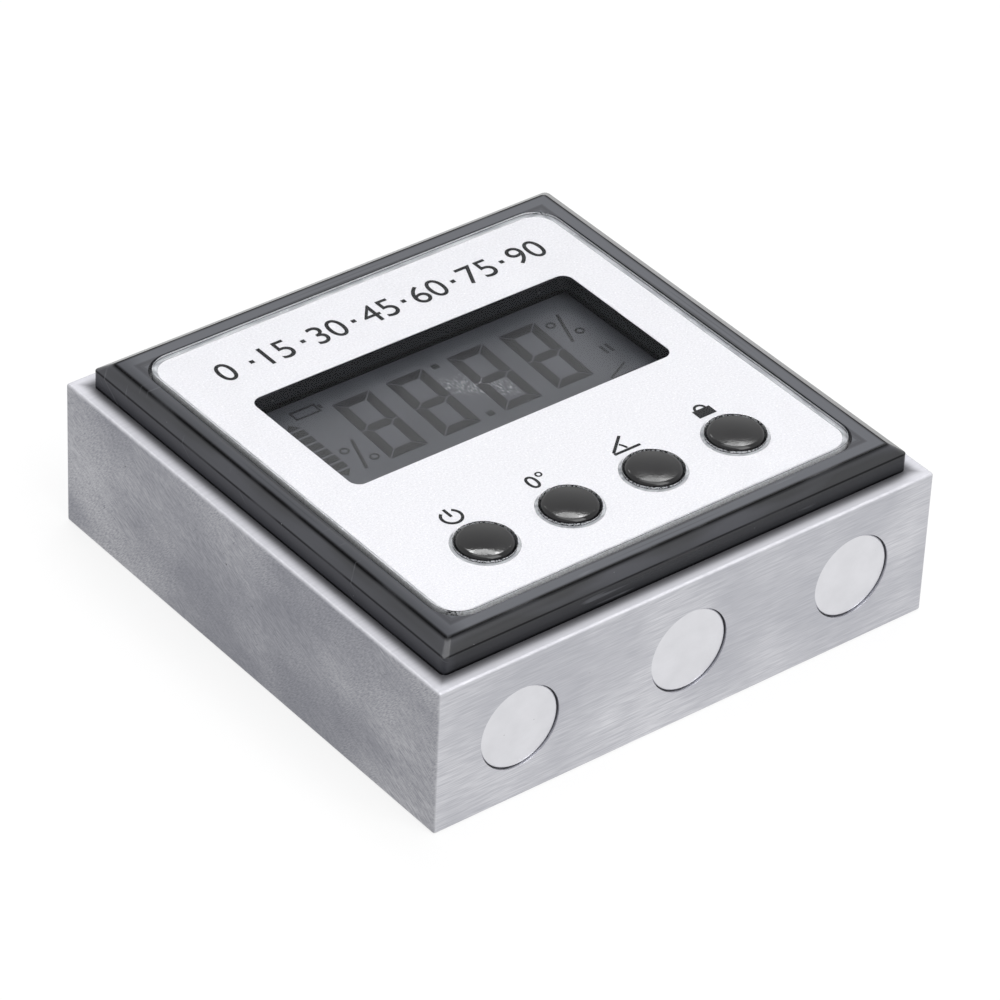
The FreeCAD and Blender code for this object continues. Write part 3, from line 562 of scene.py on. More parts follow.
@dataclass(frozen=True)
class MouldedPlastic(Finish):
    """Injection moulded plastic: fine tool grain, flow mottle and light handling scratches."""

    grain_size: float = 0.25
    grain_depth: float = 0.004
    mottle: str = "#4a4b50"
    scratch: str = "#8f9094"
    scratch_share: float = 0.35
    shine: float = 0.5

    def coat(self) -> Coat:
        """Mottle with scratches over it."""
        flow = Grain(size=4.5, detail=3.0)
        marks = scratches(pitch=0.32, length=26, turn=38.0, area=6.0, start=0.5, end=0.66,
                          most=self.scratch_share)
        return Coat(layers=((self.mottle, Shown(flow, start=0.35, end=0.7, most=0.45)),
                            (self.scratch, marks)),
                    relief=((Grain(self.grain_size, detail=1.0), self.grain_depth),),
                    rough=self.worn(flow, less=0.05, more=0.07), shine=self.shine)


@dataclass(frozen=True)
class PolishedMoulding(Finish):
    """Injection moulded in a polished tool: glossy, with streaks along its sides.

    Paler streaks painted on its flat rim stand for reflections, a paler painted sheen lies down its
    walls, and painted shade darkens its edges and where it meets the steel.
    """

    # Painted reflection on the rim, painted sheen down the walls and painted shade along the edges.
    rub: str = "#4d4f55"
    haze: str = "#3a3b41"
    grime: str = "#020203"
    scratch: str = "#77797e"
    dust: str = "#8a8c90"
    rim_inner: float = 24.0
    # How much of the rim's painted reflection is kept on the left side.
    left_share: float = 0.3
    rim_level: float = 19.4
    wall_level: float = 18.4
    rim_edge: Point = (26.65, 19.38)
    wall_edge: Point = (28.02, 18.48)
    foot_edge: Point = (28.1, 16.6)
    rim_fade: Point = (0.12, 0.02)
    wall_fade: Point = (0.02, 0.1)
    # Widths and strengths of the painted shade along the rim's edge, the bevel's edge and the foot.
    grime_widths: Spot = (0.42, 0.16, 0.3)
    grime_shares: Spot = (0.97, 0.9, 1.0)
    grime_least_share: float = 0.35

    def coat(self) -> Coat:
        """Painted sheen down the walls, painted reflections on the rim, then painted edge shade,
        scratches and dust.
        """
        level, across = Place("Z"), Place("X")
        rim = Shown(level, start=self.rim_level - self.rim_fade[0],
                    end=self.rim_level - self.rim_fade[1])
        bevel = Shown(level, start=self.wall_level - self.wall_fade[0],
                      end=self.wall_level + self.wall_fade[1])
        # The rim's painted reflection and its shine are weaker on the left side.
        left = Shown(across, start=-self.rim_inner, end=-self.rim_edge[0])
        side = Shown(rim * left, least=1.0, most=self.left_share)
        # A painted sheen lightens the left bevel and wall.
        lit = Shown(across, start=-self.rim_edge[0], end=-self.wall_edge[0], most=0.7)
        streaks = Flow(width=0.6, length=60.0)
        # Paler streaks painted on the rim stand for reflections.
        rim_reflection_streaks = rim * Shown(streaks, start=0.36, end=0.5) * side
        # Streaks of painted sheen on the bevel stand for reflected bands.
        bevel_sheen_streaks = bevel * Shown(Flow(width=3.0, length=14.0), start=0.42, end=0.6, most=0.8)
        layers = [(self.haze, bevel_sheen_streaks), (self.haze, lit), (self.rub, rim_reflection_streaks)]
        shine = Shown(bevel, least=0.3, most=0.5) * side
        # Painted shade along the rim's edge, the bevel's edge and the foot, which also dulls their
        # shine.
        for (out, height), width, share in zip((self.rim_edge, self.wall_edge, self.foot_edge),
                                               self.grime_widths, self.grime_shares):
            kept = Shown(Flow(width=2.0, length=9.0), start=0.3, end=0.5,
                         least=share * self.grime_least_share, most=share)
            line = Edge(out, width, height) * kept
            layers.append((self.grime, line))
            shine = shine * Shown(line, least=1.0, most=0.15)
        marks = scratches(pitch=0.3, length=26, turn=38.0, area=6.0, start=0.5, end=0.66,
                          most=0.3)
        layers += [(self.scratch, marks), (self.dust, specks(pitch=2.6, radius=0.06))]
        return Coat(layers, relief=((streaks, 0.01),), shine=shine,
                    rough=self.worn(streaks, less=0.06, more=0.08))


@dataclass(frozen=True)
class SilverInk(Finish):
    """Silver ink screen printed on film: fine bright flakes in a pale even coat.

    Real flakes are about 0.03 mm wide, too fine to show, so they are drawn coarser.
    """

    flake: str = "#ffffff"
    shade: str = "#c2c2c7"

    def coat(self) -> Coat:
        """The shade between the flakes, with a sparkle over it."""
        flakes = Grain(size=0.2, detail=1.0)
        between = Shown(flakes, start=0.25, end=0.75, least=0.9, most=0.4)
        return Coat(layers=((self.shade, between),
                            (self.flake, specks(pitch=0.55, radius=0.09) * 0.55)),
                    relief=((flakes, 0.004),), metal=0.25,
                    rough=self.worn(flakes, less=0.08, more=0.08))


@dataclass(frozen=True)
class PrintedInk(Finish):
    """Opaque ink laid down by a screen: slightly uneven, with a soft shine."""

    thin: str = "#2c2d30"
    shine: float = 0.5

    def coat(self) -> Coat:
        """Thinner places in the ink."""
        ink = Grain(size=0.35, detail=3.0)
        return Coat(layers=((self.thin, Shown(ink, start=0.4, end=0.75, most=0.5)),),
                    relief=((ink, 0.002),), shine=self.shine,
                    rough=self.worn(ink, less=0.05, more=0.05))


@dataclass(frozen=True)
class CuredAdhesive(Finish):
    """Clear adhesive squeezed out under the sheet: an even grey, with a few bubbles and gaps."""

    gap: str = "#83868b"
    bubble: str = "#e9eaec"

    def coat(self) -> Coat:
        """Runs of adhesive with bubbles in them."""
        runs = Flow(width=0.5, length=4.0)
        return Coat(layers=((self.gap, Shown(runs, start=0.35, end=0.65, most=0.8)),
                            (self.bubble, specks(pitch=0.7, radius=0.13))),
                    relief=((runs, 0.02),), rough=self.roughness)


@dataclass(frozen=True)
class CoatedAcrylic(Finish):
    """Clear acrylic sheet with a coat that cuts its glare, and paler sawn and drilled edges."""

    glare: str = "#6b6d70"
    chip: str = "#35373b"
    sawn_from: float = 24.2
    sawn_fade: float = 0.4
    sawn_roughness: float = 0.22
    frost: float = 0.85
    ior: float = 1.49
    steep: Point = (0.85, 0.3)
    smeared: float = 0.12
    drilled_share: float = 0.25

    def surface(self, tree: Tree) -> Socket:
        """Draws a clear sheet that lets lamps through to what lies under it, and its edges."""
        smears = Shown(Grain(size=1.3, stretch=(1, 4, 1), detail=4.0), start=0.45, end=0.8,
                       least=self.roughness, most=self.roughness + self.smeared)
        shine = tree.add("ShaderNodeBsdfGlossy", {"Color": linear(self.glare),
                                                  "Roughness": tree.draw(smears)})
        bend = tree.add("ShaderNodeBsdfRefraction", {"Color": WHITE, "Roughness": 0.0,
                                                     "IOR": self.ior})
        pass_on = tree.add("ShaderNodeBsdfTransparent", {"Color": WHITE})
        see = tree.add("ShaderNodeMixShader", {0: tree.lighting(), 1: bend, 2: pass_on})
        glancing = tree.add("ShaderNodeFresnel", {"IOR": self.ior})
        away = tree.add("ShaderNodeNewGeometry", out="Backfacing")
        facing = tree.add("ShaderNodeMath", {0: 1.0, 1: away}, operation="SUBTRACT")
        share = tree.add("ShaderNodeMath", {0: glancing, 1: facing}, operation="MULTIPLY")
        sheet = tree.add("ShaderNodeMixShader", {0: share, 1: see, 2: shine})
        lean = tree.add("ShaderNodeNewGeometry", out="Normal")
        upward = tree.add("ShaderNodeSeparateXYZ", {0: lean}, "Z")
        upward = tree.add("ShaderNodeMath", {0: upward}, operation="ABSOLUTE")
        edge = tree.add("ShaderNodeMapRange", {0: upward, 1: self.steep[0], 2: self.steep[1],
                                               4: self.frost}, interpolation_type="SMOOTHSTEP")
        cut = Grain(size=0.22, detail=3.0)
        drilled = Shown(Place("X", Measure.GIRTH), start=self.sawn_from,
                        end=self.sawn_from + self.sawn_fade, least=1.0,
                        most=self.drilled_share)
        chips = Shown(cut, start=0.44, end=0.58) * drilled
        sawn = tree.add("ShaderNodeBsdfPrincipled",
                        {"Base Color": tree.layered(self.colour, ((self.chip, chips),)),
                         "Roughness": self.sawn_roughness,
                         "Normal": tree.raised(((cut, 0.01),))})
        return tree.add("ShaderNodeMixShader", {0: edge, 1: sheet, 2: sawn})


@dataclass(frozen=True)
class FloatGlass(Finish):
    """Thin display glass: clear and faintly green, smooth, with a little dust."""

    dust: str = "#ffffff"
    ior: float = 1.52
    smeared: float = 0.08

    def surface(self, tree: Tree) -> Socket:
        """Draws the glass, which lets lamps through."""
        smears = Shown(Grain(size=2.0, detail=3.0), start=0.4, end=0.8, least=self.roughness,
                       most=self.roughness + self.smeared)
        dusty = ((self.dust, specks(pitch=1.4, radius=0.06)),)
        body = tree.add("ShaderNodeBsdfPrincipled",
                        {"Base Color": tree.layered(self.colour, dusty), "IOR": self.ior,
                         "Roughness": tree.draw(smears), "Transmission Weight": 1.0})
        see = tree.add("ShaderNodeBsdfTransparent", {"Color": linear(self.colour)})
        return tree.add("ShaderNodeMixShader", {0: tree.lighting(), 1: body, 2: see})


@dataclass(frozen=True)
class DisplayFilm(Finish):
    """Grey polarising film on the display: glossy, with dust, smears and one scuffed place.

    Real hairlines in a scuff are a few hundredths of a millimetre wide, and are drawn coarser.
    """

    scuff: Patch = Patch(spot=(3.0, 6.6, 16.1), reach=(6.4, 2.2, 4.0), turn=-38.0)
    smear: str = "#484a50"
    dust: str = "#b4b5b9"
    shine: float = 0.4
    smeared: float = 0.14

    def coat(self) -> Coat:
        """Smears, then the hairlines of the scuff, then dust."""
        smears = Grain(size=3.4, stretch=(1, 2, 1), detail=4.0)
        hairs = Shown(Grain(size=0.14, stretch=(1, 4, 1), detail=4.0), start=0.5, end=0.64,
                      most=0.6)
        return Coat(layers=((self.smear, Shown(smears, start=0.35, end=0.7, most=0.5)),
                            (self.dust, hairs * self.scuff),
                            (self.dust, specks(pitch=1.9, radius=0.09))),
                    relief=((hairs, 0.002),), shine=self.shine,
                    rough=Shown(smears, start=0.4, end=0.8, least=self.roughness,
                                most=self.roughness + self.smeared))


@dataclass(frozen=True)
class Laminate(Finish):
    """Glass cloth laminate under green solder mask, with the copper tracks showing as ridges."""

    track: str = "#2f7a45"
    weave: str = "#0a2412"
    track_pitch: float = 1.9
    weave_pitch: float = 0.5
    weave_share: float = 0.12
    uneven: Point = (0.06, 0.1)

    def coat(self) -> Coat:
        """The tracks under the weave."""
        bend = Cells(self.track_pitch, distance="CHEBYCHEV")
        track = Shown(bend, start=0.30, end=0.34) * Shown(bend, start=0.44, end=0.40)
        cloth = Weave(self.weave_pitch)
        return Coat(layers=((self.track, track), (self.weave, cloth * self.weave_share)),
                    relief=((track, 0.035), (cloth, 0.004)),
                    rough=Shown(Grain(size=3.0), least=self.roughness - self.uneven[0],
                                most=self.roughness + self.uneven[1]))


@dataclass(frozen=True)
class LayeredRubber(Finish):
    """Soft rubber or foam, open grained, with thin dark carbon layers where it has a pitch.

    Real carbon layers are about 0.05 mm apart, too fine to show, so they are drawn coarser.
    """

    layer: str = "#1b1b1c"
    layer_pitch: float = 0.0
    layer_shares: Point = (0.45, 0.55)
    grain_size: float = 0.18

    def coat(self) -> Coat:
        """The open grain, and the layers over it."""
        cells = Grain(self.grain_size)
        layers = [(self.layer, Shown(cells, start=0.3, end=0.7, most=0.4))]
        if self.layer_pitch:
            fold = Pair(Place("X"), self.layer_pitch, "PINGPONG")
            start, end = (self.layer_pitch * share for share in self.layer_shares)
            layers.append((self.layer, Shown(fold, start=start, end=end)))
        return Coat(layers, relief=((cells, 0.02),), rough=self.roughness)


@dataclass(frozen=True)
class CellSleeve(Finish):
    """A cell's shrunk film sleeve in two plain colours, open at its steel ends."""

    band: str = "#b98a4d"
    steel: str = "#c9cacb"
    crease: str = "#4a4d55"
    band_start: float = 10.0
    end_start: float = 21.6
    blur: float = 0.05
    flip: float = 1.0

    def coat(self) -> Coat:
        """Creases, the band at one end and bare steel at both."""
        creases = Grain(size=1.2, stretch=(1, 4, 4))
        band = Shown(Place("X"), start=self.band_start * self.flip,
                     end=(self.band_start + self.blur) * self.flip)
        bare = Shown(Place("X", Measure.FOLDED), start=self.end_start,
                     end=self.end_start + self.blur)
        return Coat(layers=((self.crease, Shown(creases, start=0.4, end=0.8, most=0.4)),
                            (self.band, band), (self.steel, bare)),
                    relief=((creases, 0.02),), rough=self.roughness, metal=bare)


# Soft grey, with level streaks on two sides, cloudy tumbled ones on the others, bright edges. The
# tumbled sides are darker partly as painted shade, and painted shade darkens the ledge by the
# bezel.
STEEL = GroundSteel("ground_mild_steel", "#d6d6da", 0.36)
# Paler and smoother than the steel round it, with a few dark pits.
MAGNET = PlatedMetal("nickel_plated_magnet", "#dcdce0", 0.33, stain="#b7b8bb", amount=0.2,
                     pit_pitch=2.0)
# Near black and glossy, with paler streaks painted on its flat rim as reflections, a painted sheen
# down its walls and painted shade along its edges.
BEZEL = PolishedMoulding("polished_moulded_abs", "#202124", 0.2)
# Even dark grey with a fine dull grain.
COVER = MouldedPlastic("sparked_moulded_abs", "#2b2c2f", 0.52, grain_size=0.3,
                       grain_depth=0.02, mottle="#37383c", scratch_share=0.1)
# Almost black, and smooth enough to mirror a soft lamp as a curved band.
BUTTON = MouldedPlastic("satin_moulded_button_abs", "#0a0a0c", 0.1, mottle="#101012",
                        scratch_share=0.0, shine=0.42)
# A black that swallows the light round the display.
HOLDER = MouldedPlastic("black_moulded_abs", "#060607", 0.6, mottle="#09090a",
                        scratch_share=0.0, shine=0.15)
# Milky cream with a soft shine.
NYLON = MouldedPlastic("natural_moulded_nylon", "#c9c2ae", 0.45, mottle="#b5ad97",
                       scratch="#e4dfd0")
# Plain black with a slight grain.
SWITCH = MouldedPlastic("black_moulded_nylon", "#1b1b1c", 0.48, mottle="#262627")
# Dull charcoal.
CHIP = MouldedPlastic("black_moulded_epoxy", "#1d1d1f", 0.55, mottle="#2a2a2c")
# A black blob that looks wet.
RESIN = MouldedPlastic("poured_black_epoxy", "#0f0f10", 0.16, grain_size=1.2,
                       mottle="#161617", scratch_share=0.1)
# Dull tan grains.
CERAMIC = MouldedPlastic("fired_tan_ceramic", "#9b8257", 0.6, grain_size=0.15,
                         mottle="#8a7148", scratch="#cbbd9a")
# A pale, even silver with a fine sparkle.
FACE = SilverInk("screen_printed_silver_ink", "#e5e5e8", 0.46)
# Flat black lines.
INK = PrintedInk("screen_printed_black_ink", "#101012", 0.5, thin="#19191b", shine=0.15)
# Only a shade darker than the film round it.
SEGMENT = PrintedInk("darkened_display_segment", "#1a1a1d", 0.33, thin="#232327", shine=0.38)
# A pale, uneven line at the sheet's edges.
BEAD = CuredAdhesive("cured_clear_adhesive", "#c3c5c9", 0.3)
# Clear, with next to no glare, and with frosted edges that catch the light.
LENS = CoatedAcrylic("coated_acrylic_sheet", "#e4e6e9", 0.03)
# Clear with a faint green tint.
GLASS = FloatGlass("display_float_glass", "#e3eee8", 0.01)
# Grey, with a soft shine that fades to black beside the walls.
FILM = DisplayFilm("grey_polarising_film", "#3e4045", 0.36)
# Dull black sponge.
TAPE = LayeredRubber("die_cut_black_foam", "#232325", 0.85)
# Cream rubber with thin black stripes.
STRIP = LayeredRubber("layered_silicone_rubber", "#cfccc2", 0.6, layer_pitch=0.5)
# Deep green with raised tracks.
BOARD = Laminate("masked_glass_laminate", "#12512a", 0.34)
# Dull, even silver.
REFLECTOR = PlatedMetal("matt_aluminium_film", "#c4c6c8", 0.5)
# A bright smooth can.
CRYSTAL = PlatedMetal("drawn_nickel_silver_can", "#bfbfbd", 0.28)
# Bright metal with a warm tone.
CONTACT = PlatedMetal("nickel_plated_spring_steel", "#c9c7c0", 0.27)
# Bright metal with a cold tone.
ZINC = PlatedMetal("bright_zinc_plated_steel", "#c3c6cc", 0.26)
# Dark with a dull sheen.
BLACKED = PlatedMetal("black_oxide_steel", "#3b3b3e", 0.38, stain="#2a2a2c")
# A dark line round each magnet.
GLUE = MouldedPlastic("cured_dark_epoxy", "#1a1a1b", 0.4, mottle="#2c2c2e", scratch_share=0.1)
# Smooth charcoal sleeves with a brown band at one end.
CELL_ONE = CellSleeve("shrunk_film_sleeve_left", "#22252c", 0.3, flip=-1.0)
CELL_TWO = CellSleeve("shrunk_film_sleeve_right", "#22252c", 0.3, flip=1.0)
# Dull cream card.
WASHER = MouldedPlastic("punched_card_washer", "#d8d2c4", 0.7, mottle="#c7c0b0")


class Paintbox:
    """Each finish's material, made once and then shared."""

    def __init__(self) -> None:
        """Starts with no materials."""
        self.made: dict[Finish, bpy.types.Material] = {}

    def get(self, finish: Finish) -> bpy.types.Material:
        """Hands back a finish's material, building it the first time."""
        if finish not in self.made:
            self.made[finish] = finish.material()
        return self.made[finish]


PAINTBOX = Paintbox()


def linked(name: str, data: bpy.types.ID) -> bpy.types.Object:
    """Makes an object of a mesh, a lamp or the like, and puts it in the scene."""
    thing = bpy.data.objects.new(name, data)
    bpy.context.scene.collection.objects.link(thing)
    return thing


def settled(thing: bpy.types.Object) -> bpy.types.Mesh:
    """Makes a plain mesh of what a text or a modifier gives, and removes its object."""
    bpy.context.view_layer.update()
    graph = bpy.context.evaluated_depsgraph_get()
    mesh = bpy.data.meshes.new_from_object(thing.evaluated_get(graph))
    bpy.data.objects.remove(thing)
    return mesh


def middle_of(node: str) -> Vector:
    """The middle of a CAD node's box, in millimetres."""
    low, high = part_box(node)
    return (low + high) / 2 / MM


def toward(azimuth: float, elevation: float) -> Vector:
    """The way out from the object at two angles in degrees, from the front and from the floor."""
    turn, rise = math.radians(azimuth), math.radians(elevation)
    return Vector((math.sin(turn) * math.cos(rise), -math.cos(turn) * math.cos(rise),
                   math.sin(rise)))


def piece(name: str, mesh: bpy.types.Mesh, finish: Finish, body: Body = Body.CASE
          ) -> None:
    """Makes a finished mesh one of the object's pieces.

    Args:
        name: the piece's name.
        mesh: its mesh, in metres in the CAD frame.
        finish: its surface.
        body: the CAD body that it rides on.
    """
    mesh.materials.clear()
    mesh.materials.append(PAINTBOX.get(finish))
    thing = linked(name, mesh)
    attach(thing, body.value)
    LOG.info("%s: %d faces", name, len(mesh.polygons))


def hoop(radius: float, width: float, length: float, flats: int, spot: Spot, turn: float,
         axis: str) -> bpy.types.Mesh:
    """Makes a ring that stands on its side.

    Args:
        radius: the radius of its middle line, in millimetres.
        width: how wide the ring itself is, in millimetres.
        length: how long it is along its own axis, in millimetres.
        flats: how many flats it has.
        spot: the middle of its near end, in millimetres.
        turn: how far it turns from lying flat, in degrees.
        axis: the letter of the axis that it turns about.

    Returns:
        The mesh, in metres.
    """
    ring = Drawing()
    ring.arc((0, 0), radius, width, steps=flats)
    mesh = ring.solid(0, length)
    mesh.transform(Matrix.Translation(Vector(spot) * MM)
                   @ Matrix.Rotation(math.radians(turn), 4, axis))
    return mesh


def joined(meshes: Sequence[bpy.types.Mesh]) -> bpy.types.Mesh:
    """Joins meshes into one, and removes them."""
    whole = bmesh.new()
    for mesh in meshes:
        whole.from_mesh(mesh)
        bpy.data.meshes.remove(mesh)
    result = bpy.data.meshes.new("joined")
    whole.to_mesh(result)
    whole.free()
    return result


@dataclass(frozen=True)
class Glyph:
    """A sign's bars and arcs round its middle.

    A bar has two ends and a width. An arc has what Drawing.arc takes, in the same order.
    """

    bars: tuple[tuple[Point, Point, float], ...]
    arcs: tuple[tuple[Point, float, float, float, float, int], ...] = ()


class Drawing:
    """Flat outlines in millimetres that become one thin solid."""

    def __init__(self) -> None:
        """Starts with nothing drawn."""
        self.mesh = bmesh.new()

    def outline(self, points: Iterable[Point]) -> None:
        """Adds one filled outline."""
        self.mesh.faces.new([self.mesh.verts.new((x, y, 0)) for x, y in points])

    def bar(self, start: Point, end: Point, width: float) -> None:
        """Adds a straight bar with square ends, from the middle of one to that of the other."""
        first, last = Vector(start), Vector(end)
        along = (last - first).normalized()
        side = Vector((-along.y, along.x)) * (width / 2)
        self.outline([tuple(first - side), tuple(last - side), tuple(last + side),
                      tuple(first + side)])

    def block(self, centre: Point, size: Point) -> None:
        """Adds a rectangle round a centre."""
        (x, y), (width, height) = centre, size
        self.bar((x - width / 2, y), (x + width / 2, y), height)

    def band(self, rows: Iterable[Sequence[Point]], whole: bool = True) -> None:
        """Fills the band between two edges.

        Args:
            rows: pairs of points in order along the band, one on each edge.
            whole: whether the band closes on itself.
        """
        made = [[self.mesh.verts.new((x, y, 0)) for x, y in row] for row in rows]
        following = made[1:] + made[:1] if whole else made[1:]
        for (near, far), (next_near, next_far) in zip(made, following):
            self.mesh.faces.new([near, far, next_far, next_near])

    def arc(self, centre: Point, radius: float, width: float, start: float = 0.0,
            sweep: float = 360.0, steps: int = 36) -> None:
        """Adds a curved bar, or a whole ring.

        Args:
            centre: the arc's centre.
            radius: the radius of its middle line.
            width: the bar's width.
            start: the angle where it starts, in degrees.
            sweep: how far it turns, in degrees.
            steps: how many flats it has.
        """
        whole = sweep == 360.0
        angles = [math.radians(start + sweep * step / steps)
                  for step in range(steps if whole else steps + 1)]
        self.band([[(centre[0] + math.cos(angle) * reach, centre[1] + math.sin(angle) * reach)
                    for reach in (radius - width / 2, radius + width / 2)]
                   for angle in angles], whole)

    def square_ring(self, outer: Point, inner: Point, steps: int = 10) -> None:
        """Adds a square ring with rounded corners.

        Args:
            outer: half its outer side, and that side's corner radius.
            inner: half its inner side, and that side's corner radius.
            steps: how many flats each corner has.
        """
        rows = []
        for corner, way in enumerate(((1, 1), (-1, 1), (-1, -1), (1, -1))):
            for step in range(steps + 1):
                angle = math.radians(90 * (corner + step / steps))
                out = Vector((math.cos(angle), math.sin(angle)))
                rows.append([Vector(way) * (half - radius) + out * radius
                             for half, radius in (inner, outer)])
        self.band(rows)

    def glyph(self, sign: Glyph, centre: Sequence[float], unit: float = 1.0,
              stroke: float = 1.0) -> None:
        """Adds a sign.

        Args:
            sign: the sign.
            centre: where its middle goes.
            unit: how long 1 is in its points and radii.
            stroke: how wide 1 is in its widths.
        """
        middle = Vector(centre)
        for start, end, width in sign.bars:
            self.bar(middle + Vector(start) * unit, middle + Vector(end) * unit,
                     width * stroke)
        for spot, radius, width, *turns in sign.arcs:
            self.arc(middle + Vector(spot) * unit, radius * unit, width * stroke, *turns)

    def solid(self, level: float, thickness: float, slant: float = 0.0) -> bpy.types.Mesh:
        """Thickens what was drawn into a closed mesh in metres.

        Args:
            level: the height of its lower face.
            thickness: its thickness.
            slant: how far it leans to the right for each unit up the page.

        Returns:
            The mesh.
        """
        made = self.mesh
        bmesh.ops.remove_doubles(made, verts=made.verts, dist=MERGE)
        grown = bmesh.ops.extrude_face_region(made, geom=made.faces[:], use_keep_orig=True)
        raised = [part for part in grown["geom"] if isinstance(part, bmesh.types.BMVert)]
        bmesh.ops.translate(made, verts=raised, vec=(0, 0, thickness))
        for vert in made.verts:
            vert.co = Vector((vert.co.x + vert.co.y * slant, vert.co.y,
                              vert.co.z + level)) * MM
        bmesh.ops.recalc_face_normals(made, faces=made.faces[:])
        mesh = bpy.data.meshes.new("outline")
        made.to_mesh(mesh)
        made.free()
        return mesh


@dataclass
class Lettering:
    """Plain figures in Blender's own font, as thin closed meshes."""

    height: float
    level: float
    thickness: float
    weight: float = 0.0
    fineness: int = 6

    def mesh(self, words: str, centre: Point) -> bpy.types.Mesh:
        """Makes some figures, with the outlines spread by the weight.

        Args:
            words: the figures.
            centre: where their middle goes, in millimetres.

        Returns:
            The mesh, in metres.
        """
        # The figures are 1 thick at first, from -0.5 to 0.5, and are then scaled.
        curve = bpy.data.curves.new("figures", "FONT")
        curve.body = words
        curve.size = 1.0
        curve.offset = self.weight
        curve.extrude = 0.5
        curve.resolution_u = self.fineness
        mesh = settled(linked("figures", curve))
        bpy.data.curves.remove(curve)
        xs = [vert.co.x for vert in mesh.vertices]
        ys = [vert.co.y for vert in mesh.vertices]
        scale = self.height / (max(ys) - min(ys)) * MM
        middle = Vector(((min(xs) + max(xs)) / 2, (min(ys) + max(ys)) / 2, -0.5))
        mesh.transform(Matrix.Diagonal((scale, scale, self.thickness * MM, 1))
                       @ Matrix.Translation(-middle))
        mesh.transform(Matrix.Translation(Vector((*centre, self.level)) * MM))
        tidy = bmesh.new()
        tidy.from_mesh(mesh)
        bmesh.ops.remove_doubles(tidy, verts=tidy.verts, dist=MERGE * MM)
        bmesh.ops.recalc_face_normals(tidy, faces=tidy.faces[:])
        tidy.to_mesh(mesh)
        tidy.free()
        return mesh


class RowMaker:
    """A Geometry Nodes tree that sets copies of one shape in a straight row."""

    INPUTS = (("Shape", "NodeSocketObject"), ("Count", "NodeSocketInt"),
              ("Step", "NodeSocketVector"))

    def __init__(self) -> None:
        """Builds the tree, with its inputs named for what they set."""
        self.group = bpy.data.node_groups.new("row_of_copies", "GeometryNodeTree")
        sockets = self.group.interface
        for label, kind in self.INPUTS:
            sockets.new_socket(label, in_out="INPUT", socket_type=kind)
        sockets.new_socket("Geometry", in_out="OUTPUT", socket_type="NodeSocketGeometry")
        nodes = Nodes(self.group)
        given = nodes.add("NodeGroupInput").node.outputs
        line = nodes.add("GeometryNodeMeshLine",
                         {"Count": given["Count"], "Offset": given["Step"]}, mode="OFFSET")
        shape = nodes.add("GeometryNodeObjectInfo", {"Object": given["Shape"]}, "Geometry")
        copies = nodes.add("GeometryNodeInstanceOnPoints", {"Points": line, "Instance": shape})
        real = nodes.add("GeometryNodeRealizeInstances", {"Geometry": copies})
        nodes.add("NodeGroupOutput", {"Geometry": real})

    def copies(self, shape: bpy.types.Mesh, count: int, step: Point) -> bpy.types.Mesh:
        """Makes a plain mesh of a row of copies.

        Args:
            shape: the first copy, in place, in metres.
            count: how many there are.
            step: from one to the next along X and Y, in millimetres.

        Returns:
            The mesh, in metres.
        """
        model = linked("row_model", shape)
        host = linked("row_host", bpy.data.meshes.new("row_host"))
        row = host.modifiers.new("row", "NODES")
        row.node_group = self.group
        values = {"Shape": model, "Count": count, "Step": Vector((*step, 0)) * MM}
        for item in self.group.interface.items_tree:
            if item.in_out == "INPUT":
                row[item.identifier] = values[item.name]
        mesh = settled(host)
        bpy.data.objects.remove(model)
        return mesh


ROWS = RowMaker()


@dataclass
class SubAssembly:
    """A group of pieces that are built and finished together.

    Its finishes name the CAD nodes that have each of them.
    """

    finishes: ClassVar[dict[Finish, str]] = {}

    def build(self) -> None:
        """Builds its own pieces; there are none where the CAD carries every shape."""

    def dress(self) -> None:
        """Gives each CAD node its finish, in every material slot that it has."""
        for finish, nodes in self.finishes.items():
            for name in nodes.split():
                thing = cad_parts[name]
                if not thing.material_slots:
                    thing.data.materials.append(None)
                for slot in thing.material_slots:
                    slot.material = PAINTBOX.get(finish)


@dataclass
class Frame(SubAssembly):
    """The ground steel ring, its three magnets and the glue that holds them."""

    glue_width: float = 0.1
    glue_gap: float = 0.01
    glue_sink: float = 0.22
    glue_length: float = 0.6
    flats: int = 64
    finishes = {STEEL: "steel_frame", MAGNET: "magnet_left magnet_middle magnet_right"}

    def build(self) -> None:
        """Builds the ring of glue round each magnet, a little below its face."""
        magnets = self.finishes[MAGNET].split()
        low, high = (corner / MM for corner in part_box(magnets[0]))
        first, second = (middle_of(name) for name in magnets[:2])
        radius = (high.z - low.z + self.glue_width) / 2 + self.glue_gap
        mesh = hoop(radius, self.glue_width, self.glue_length, self.flats,
                    (first.x, low.y + self.glue_sink, first.z), -90, "X")
        glue = ROWS.copies(mesh, len(magnets), (second.x - first.x, 0))
        piece("magnet_glue", glue, GLUE)


# In shares of half a sign's size and, for the widths, of its stroke.
BUTTON_SIGNS = {
    Emblem.POWER: Glyph(bars=(((0, 0), (0, 1.25), 1.0),),
                        arcs=(((0, 0), 1.0, 1.0, 125, 290, 36),)),
    Emblem.ANGLE: Glyph(bars=(((-1.4, -1), (1.6, -1), 1.0),
                              ((-1.31, -0.756), (0.8, 1.1), 1.0)),
                        arcs=(((-1.4, -1), 1.7, 0.8, 8, 30, 10),)),
    Emblem.LOCK: Glyph(bars=(((-1, -0.45), (1, -0.45), 3.94),),
                       arcs=(((0, 0.15), 0.55, 0.9, 0, 180, 16),)),
}


